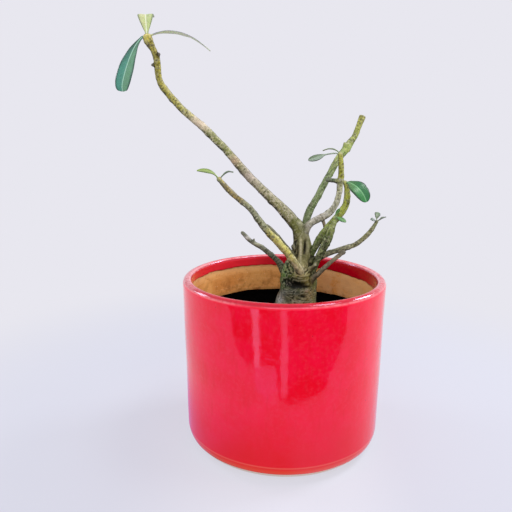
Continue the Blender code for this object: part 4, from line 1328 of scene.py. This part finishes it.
def leaf_surface(leaf, length, middles, columns):
    """A leaf's middle surface along its midrib's points, with its tints, and its thickness as a weight."""
    last = len(middles) - 1
    bm = bmesh.new()
    bmesh.ops.create_grid(bm, x_segments=columns, y_segments=last, size=0.5)
    colours = bm.verts.layers.float_color
    tint, rib_tint, margin_tint = [colours.new(kind) for kind in ("tint", "rib_tint", "margin_tint")]
    edge = bm.verts.layers.float.new("edge")
    plump = bm.verts.layers.deform.verify()
    blade = bm.loops.layers.uv.new("blade")
    left, right, margin, rib, base = [Vector(shade(code)) for code in leaf.tones]
    fold = math.radians(leaf.fold)
    places = {}
    for vertex in bm.verts:
        across = 2 * vertex.co.x
        i = round((vertex.co.y + 0.5) * last)
        share = i / last
        along = heading(middles, i)
        side = along.cross(Vector(leaf.face)).normalized()
        up = side.cross(along)
        half = leaf.width / 2 * outline(share, leaf)
        curl = half * (abs(across) * math.sin(fold) - CURL * across**4)
        ripple = RIPPLE * half * across**2 * math.sin(share * length * 0.55 + 2 * across)
        groove = MIDRIB_DEPTH * math.exp(-((across * half / MIDRIB_WIDTH) ** 2))
        spread = side * across * half * math.cos(fold) + up * (curl + ripple - groove)
        vertex.co = (middles[i].xyz + spread) * MM
        places[vertex] = (0.5 + across * half / UV_SIZE[0], share * length / UV_SIZE[1])
        vertex[edge] = abs(across) if share > leaf.stalk else 0.0
        half_tint = right.lerp(left, ramp(across, -1 / 6, 1 / 6))
        # Towards the stalk the tint turns to the base tone, partly a painted grey sheen.
        vertex[tint] = base.lerp(half_tint, np.clip(share * 2.4 - 0.2 - 0.5 * across, 0, 1))
        vertex[rib_tint] = rib
        vertex[margin_tint] = margin
        thinning = (1 - MARGIN) * abs(across) ** 0.6 * np.clip((share - leaf.stalk) * 6, 0, 1)
        vertex[plump][0] = max(MARGIN, 1 - thinning)
    for loop in [loop for face in bm.faces for loop in face.loops]:
        loop[blade].uv = places[loop.vert]
    return bm


def make_leaf(name, leaf, upper, under):
    """A leaf: a thin arched blade folded along its midrib, plump along the midrib and thin at the margin."""
    tip, radius = bud(leaf.branch)
    root = tip + (Vector(leaf.midrib[0]) - tip).normalized() * (radius - ROOTING)
    route = [(*root, 0), *[(*point, 0) for point in leaf.midrib]]
    length = sum((Vector(b[:3]) - Vector(a[:3])).length for a, b in zip(route, route[1:]))
    rows, columns = (64, 20) if length > LARGE_LEAF else (28, 10)
    made = as_object(leaf_surface(leaf, length, smooth_route(route, length / rows), columns), name + "_blade")
    made.vertex_groups.new(name="plump")
    made.data.materials.append(upper)
    made.data.materials.append(under)
    thick = made.modifiers.new("thickness", "SOLIDIFY")
    thick.thickness = BLADE * MM
    thick.offset = 0
    thick.vertex_group = "plump"
    thick.material_offset = 1
    return settle(made)


def dress(piece, looks, slot, *nodes):
    """Gives a finished piece its material and body, and lets it stand for its CAD nodes. Its slot is not
    used.
    """
    if looks is not None:
        piece.data.materials.clear()
        piece.data.materials.append(looks)
    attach(piece, ROOT)
    if nodes:
        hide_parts(*nodes)


def make_part():
    dress(make_glaze(), glaze_finish(), "red_glaze", "pot")
    dress(make_clay_body(), clay_finish(), None)
    soil = soil_finish()
    dress(make_soil(), soil, "dark_soil", "soil")
    dress(make_crumbs(), soil, "dark_soil")
    dress(make_plant(), bark_finish(), "grey_green_bark", "caudex_and_branches")
    upper = leaf_finish("leaf_upper_finish", False)
    under = leaf_finish("leaf_under_finish", True)
    for name, leaf in LEAVES.items():
        dress(make_leaf(name, leaf, upper, under), None, "leaf_green", name)


def make_floor():
    """A plain pale floor: near the pot, lit paper that catches soft shade mixed with a glow that holds
    painted shade beside the pot; beyond, a glow as pale as the air.
    """
    bm = bmesh.new()
    bmesh.ops.create_circle(bm, cap_ends=True, segments=96, radius=FLOOR_REACH * MM)
    floor = as_object(bm, "studio_floor")
    f = Finish("pale_paper")
    across = f.along("X")
    far = f.zone(f.from_axis(), SHADE_REACH * 0.4, SHADE_REACH, SHADE_SHARE, 1.0)
    # Painted shade: the glow near the pot is darker at its sides, most on the left.
    painted_shade_beside = f.math("MAXIMUM", f.zone(across, -20, -110), f.zone(across, 35, 90, 0, 0.9))
    close = f.mix(painted_shade_beside, shade("e8e5f2"), shade("b2b2ca"))
    f.set(Base_Color=shade("c6cbd6"), Roughness=0.9, Specular_IOR_Level=0.1)
    blend = f.node("MixShader")
    glow = f.glow(f.mix(far, close, shade(PAPER)))
    for i, value in enumerate((far, f.shader.outputs[0], glow)):
        f.feed(blend.inputs[i], value)
    f.show(blend.outputs[0])
    floor.data.materials.append(f.material)


def card_finish(name, code, strength):
    """An even glow."""
    f = Finish(name)
    f.show(f.glow(shade(code), strength))
    return f.material


def foot_card_finish():
    """Dim and faintly violet by the foot, as pale as the floor at its edge."""
    f = Finish("soft_flag_finish")
    across = f.along("X")
    dim = f.mix(f.zone(across, -40, -80), shade("a4a0a8"), shade("d0a4d8"))
    dim = f.over(dim, "dcd0e6", f.zone(across, 0, 25))
    f.show(f.glow(f.over(dim, "e2dfea", f.zone(f.from_axis(), 80, SOFT_FLAG))))
    return f.material


def lay_card(name, corners, height, looks):
    """A flat card on the floor that shows only in the glaze, as a studio's flags and strips do."""
    bm = bmesh.new()
    bm.faces.new([bm.verts.new((x * MM, y * MM, height * MM)) for x, y in corners])
    card = as_object(bm, name)
    card.data.materials.append(looks)
    card.visible_camera = card.visible_diffuse = card.visible_shadow = card.visible_transmission = False


def make_cards():
    lay_card("dark_flag", DARK_CARD, CARD_HEIGHT, card_finish("dark_flag_finish", PAPER, 0.04))
    for number, (strength, code, corners) in enumerate(PALE_STRIPS, 1):
        looks = card_finish(f"pale_strip_finish_{number}", code, strength)
        lay_card(f"pale_strip_{number}", corners, CARD_HEIGHT * 2, looks)
    ring = arc((0, 0), SOFT_FLAG, 0, 350, 35)
    lay_card("soft_flag", ring, CARD_HEIGHT / 2, foot_card_finish())


def make_air():
    world = bpy.data.worlds.new("pale_air")
    world.use_nodes = True
    air = world.node_tree.nodes["Background"]
    air.inputs["Color"].default_value = shade(PAPER)
    air.inputs["Strength"].default_value = 1.0
    bpy.context.scene.world = world


def soft_light(name, place, size, power, colour=(1, 1, 1)):
    """A soft light that faces the pot."""
    lamp = bpy.data.lights.new(name, "AREA")
    lamp.shape = "RECTANGLE"
    lamp.size, lamp.size_y = size[0] * MM, size[1] * MM
    lamp.energy = power
    lamp.color = colour
    made = bpy.data.objects.new(name, lamp)
    made.location = Vector(place) * MM
    made.rotation_mode = "QUATERNION"
    made.rotation_quaternion = (Vector(place) - Vector(LIT_POINT)).to_track_quat("Z", "Y")
    bpy.context.scene.collection.objects.link(made)


def make_camera():
    data = bpy.data.cameras.new("camera")
    data.lens = LENS
    data.clip_start, data.clip_end = 0.01, 100
    camera = bpy.data.objects.new("camera", data)
    turn = Matrix.Rotation(math.radians(CAMERA_TURN), 4, "Z")
    tilt = Matrix.Rotation(math.radians(90 - CAMERA_TILT), 4, "X")
    roll = Matrix.Rotation(math.radians(CAMERA_ROLL), 4, "Z")
    camera.matrix_world = Matrix.Translation(Vector(CAMERA_PLACE) * MM) @ turn @ tilt @ roll
    bpy.context.scene.collection.objects.link(camera)
    bpy.context.scene.camera = camera


make_camera()
make_air()
make_floor()
make_cards()
for name, settings in LIGHTS.items():
    soft_light(name, *settings)
make_part()
bpy.context.scene.view_settings.view_transform = "Standard"
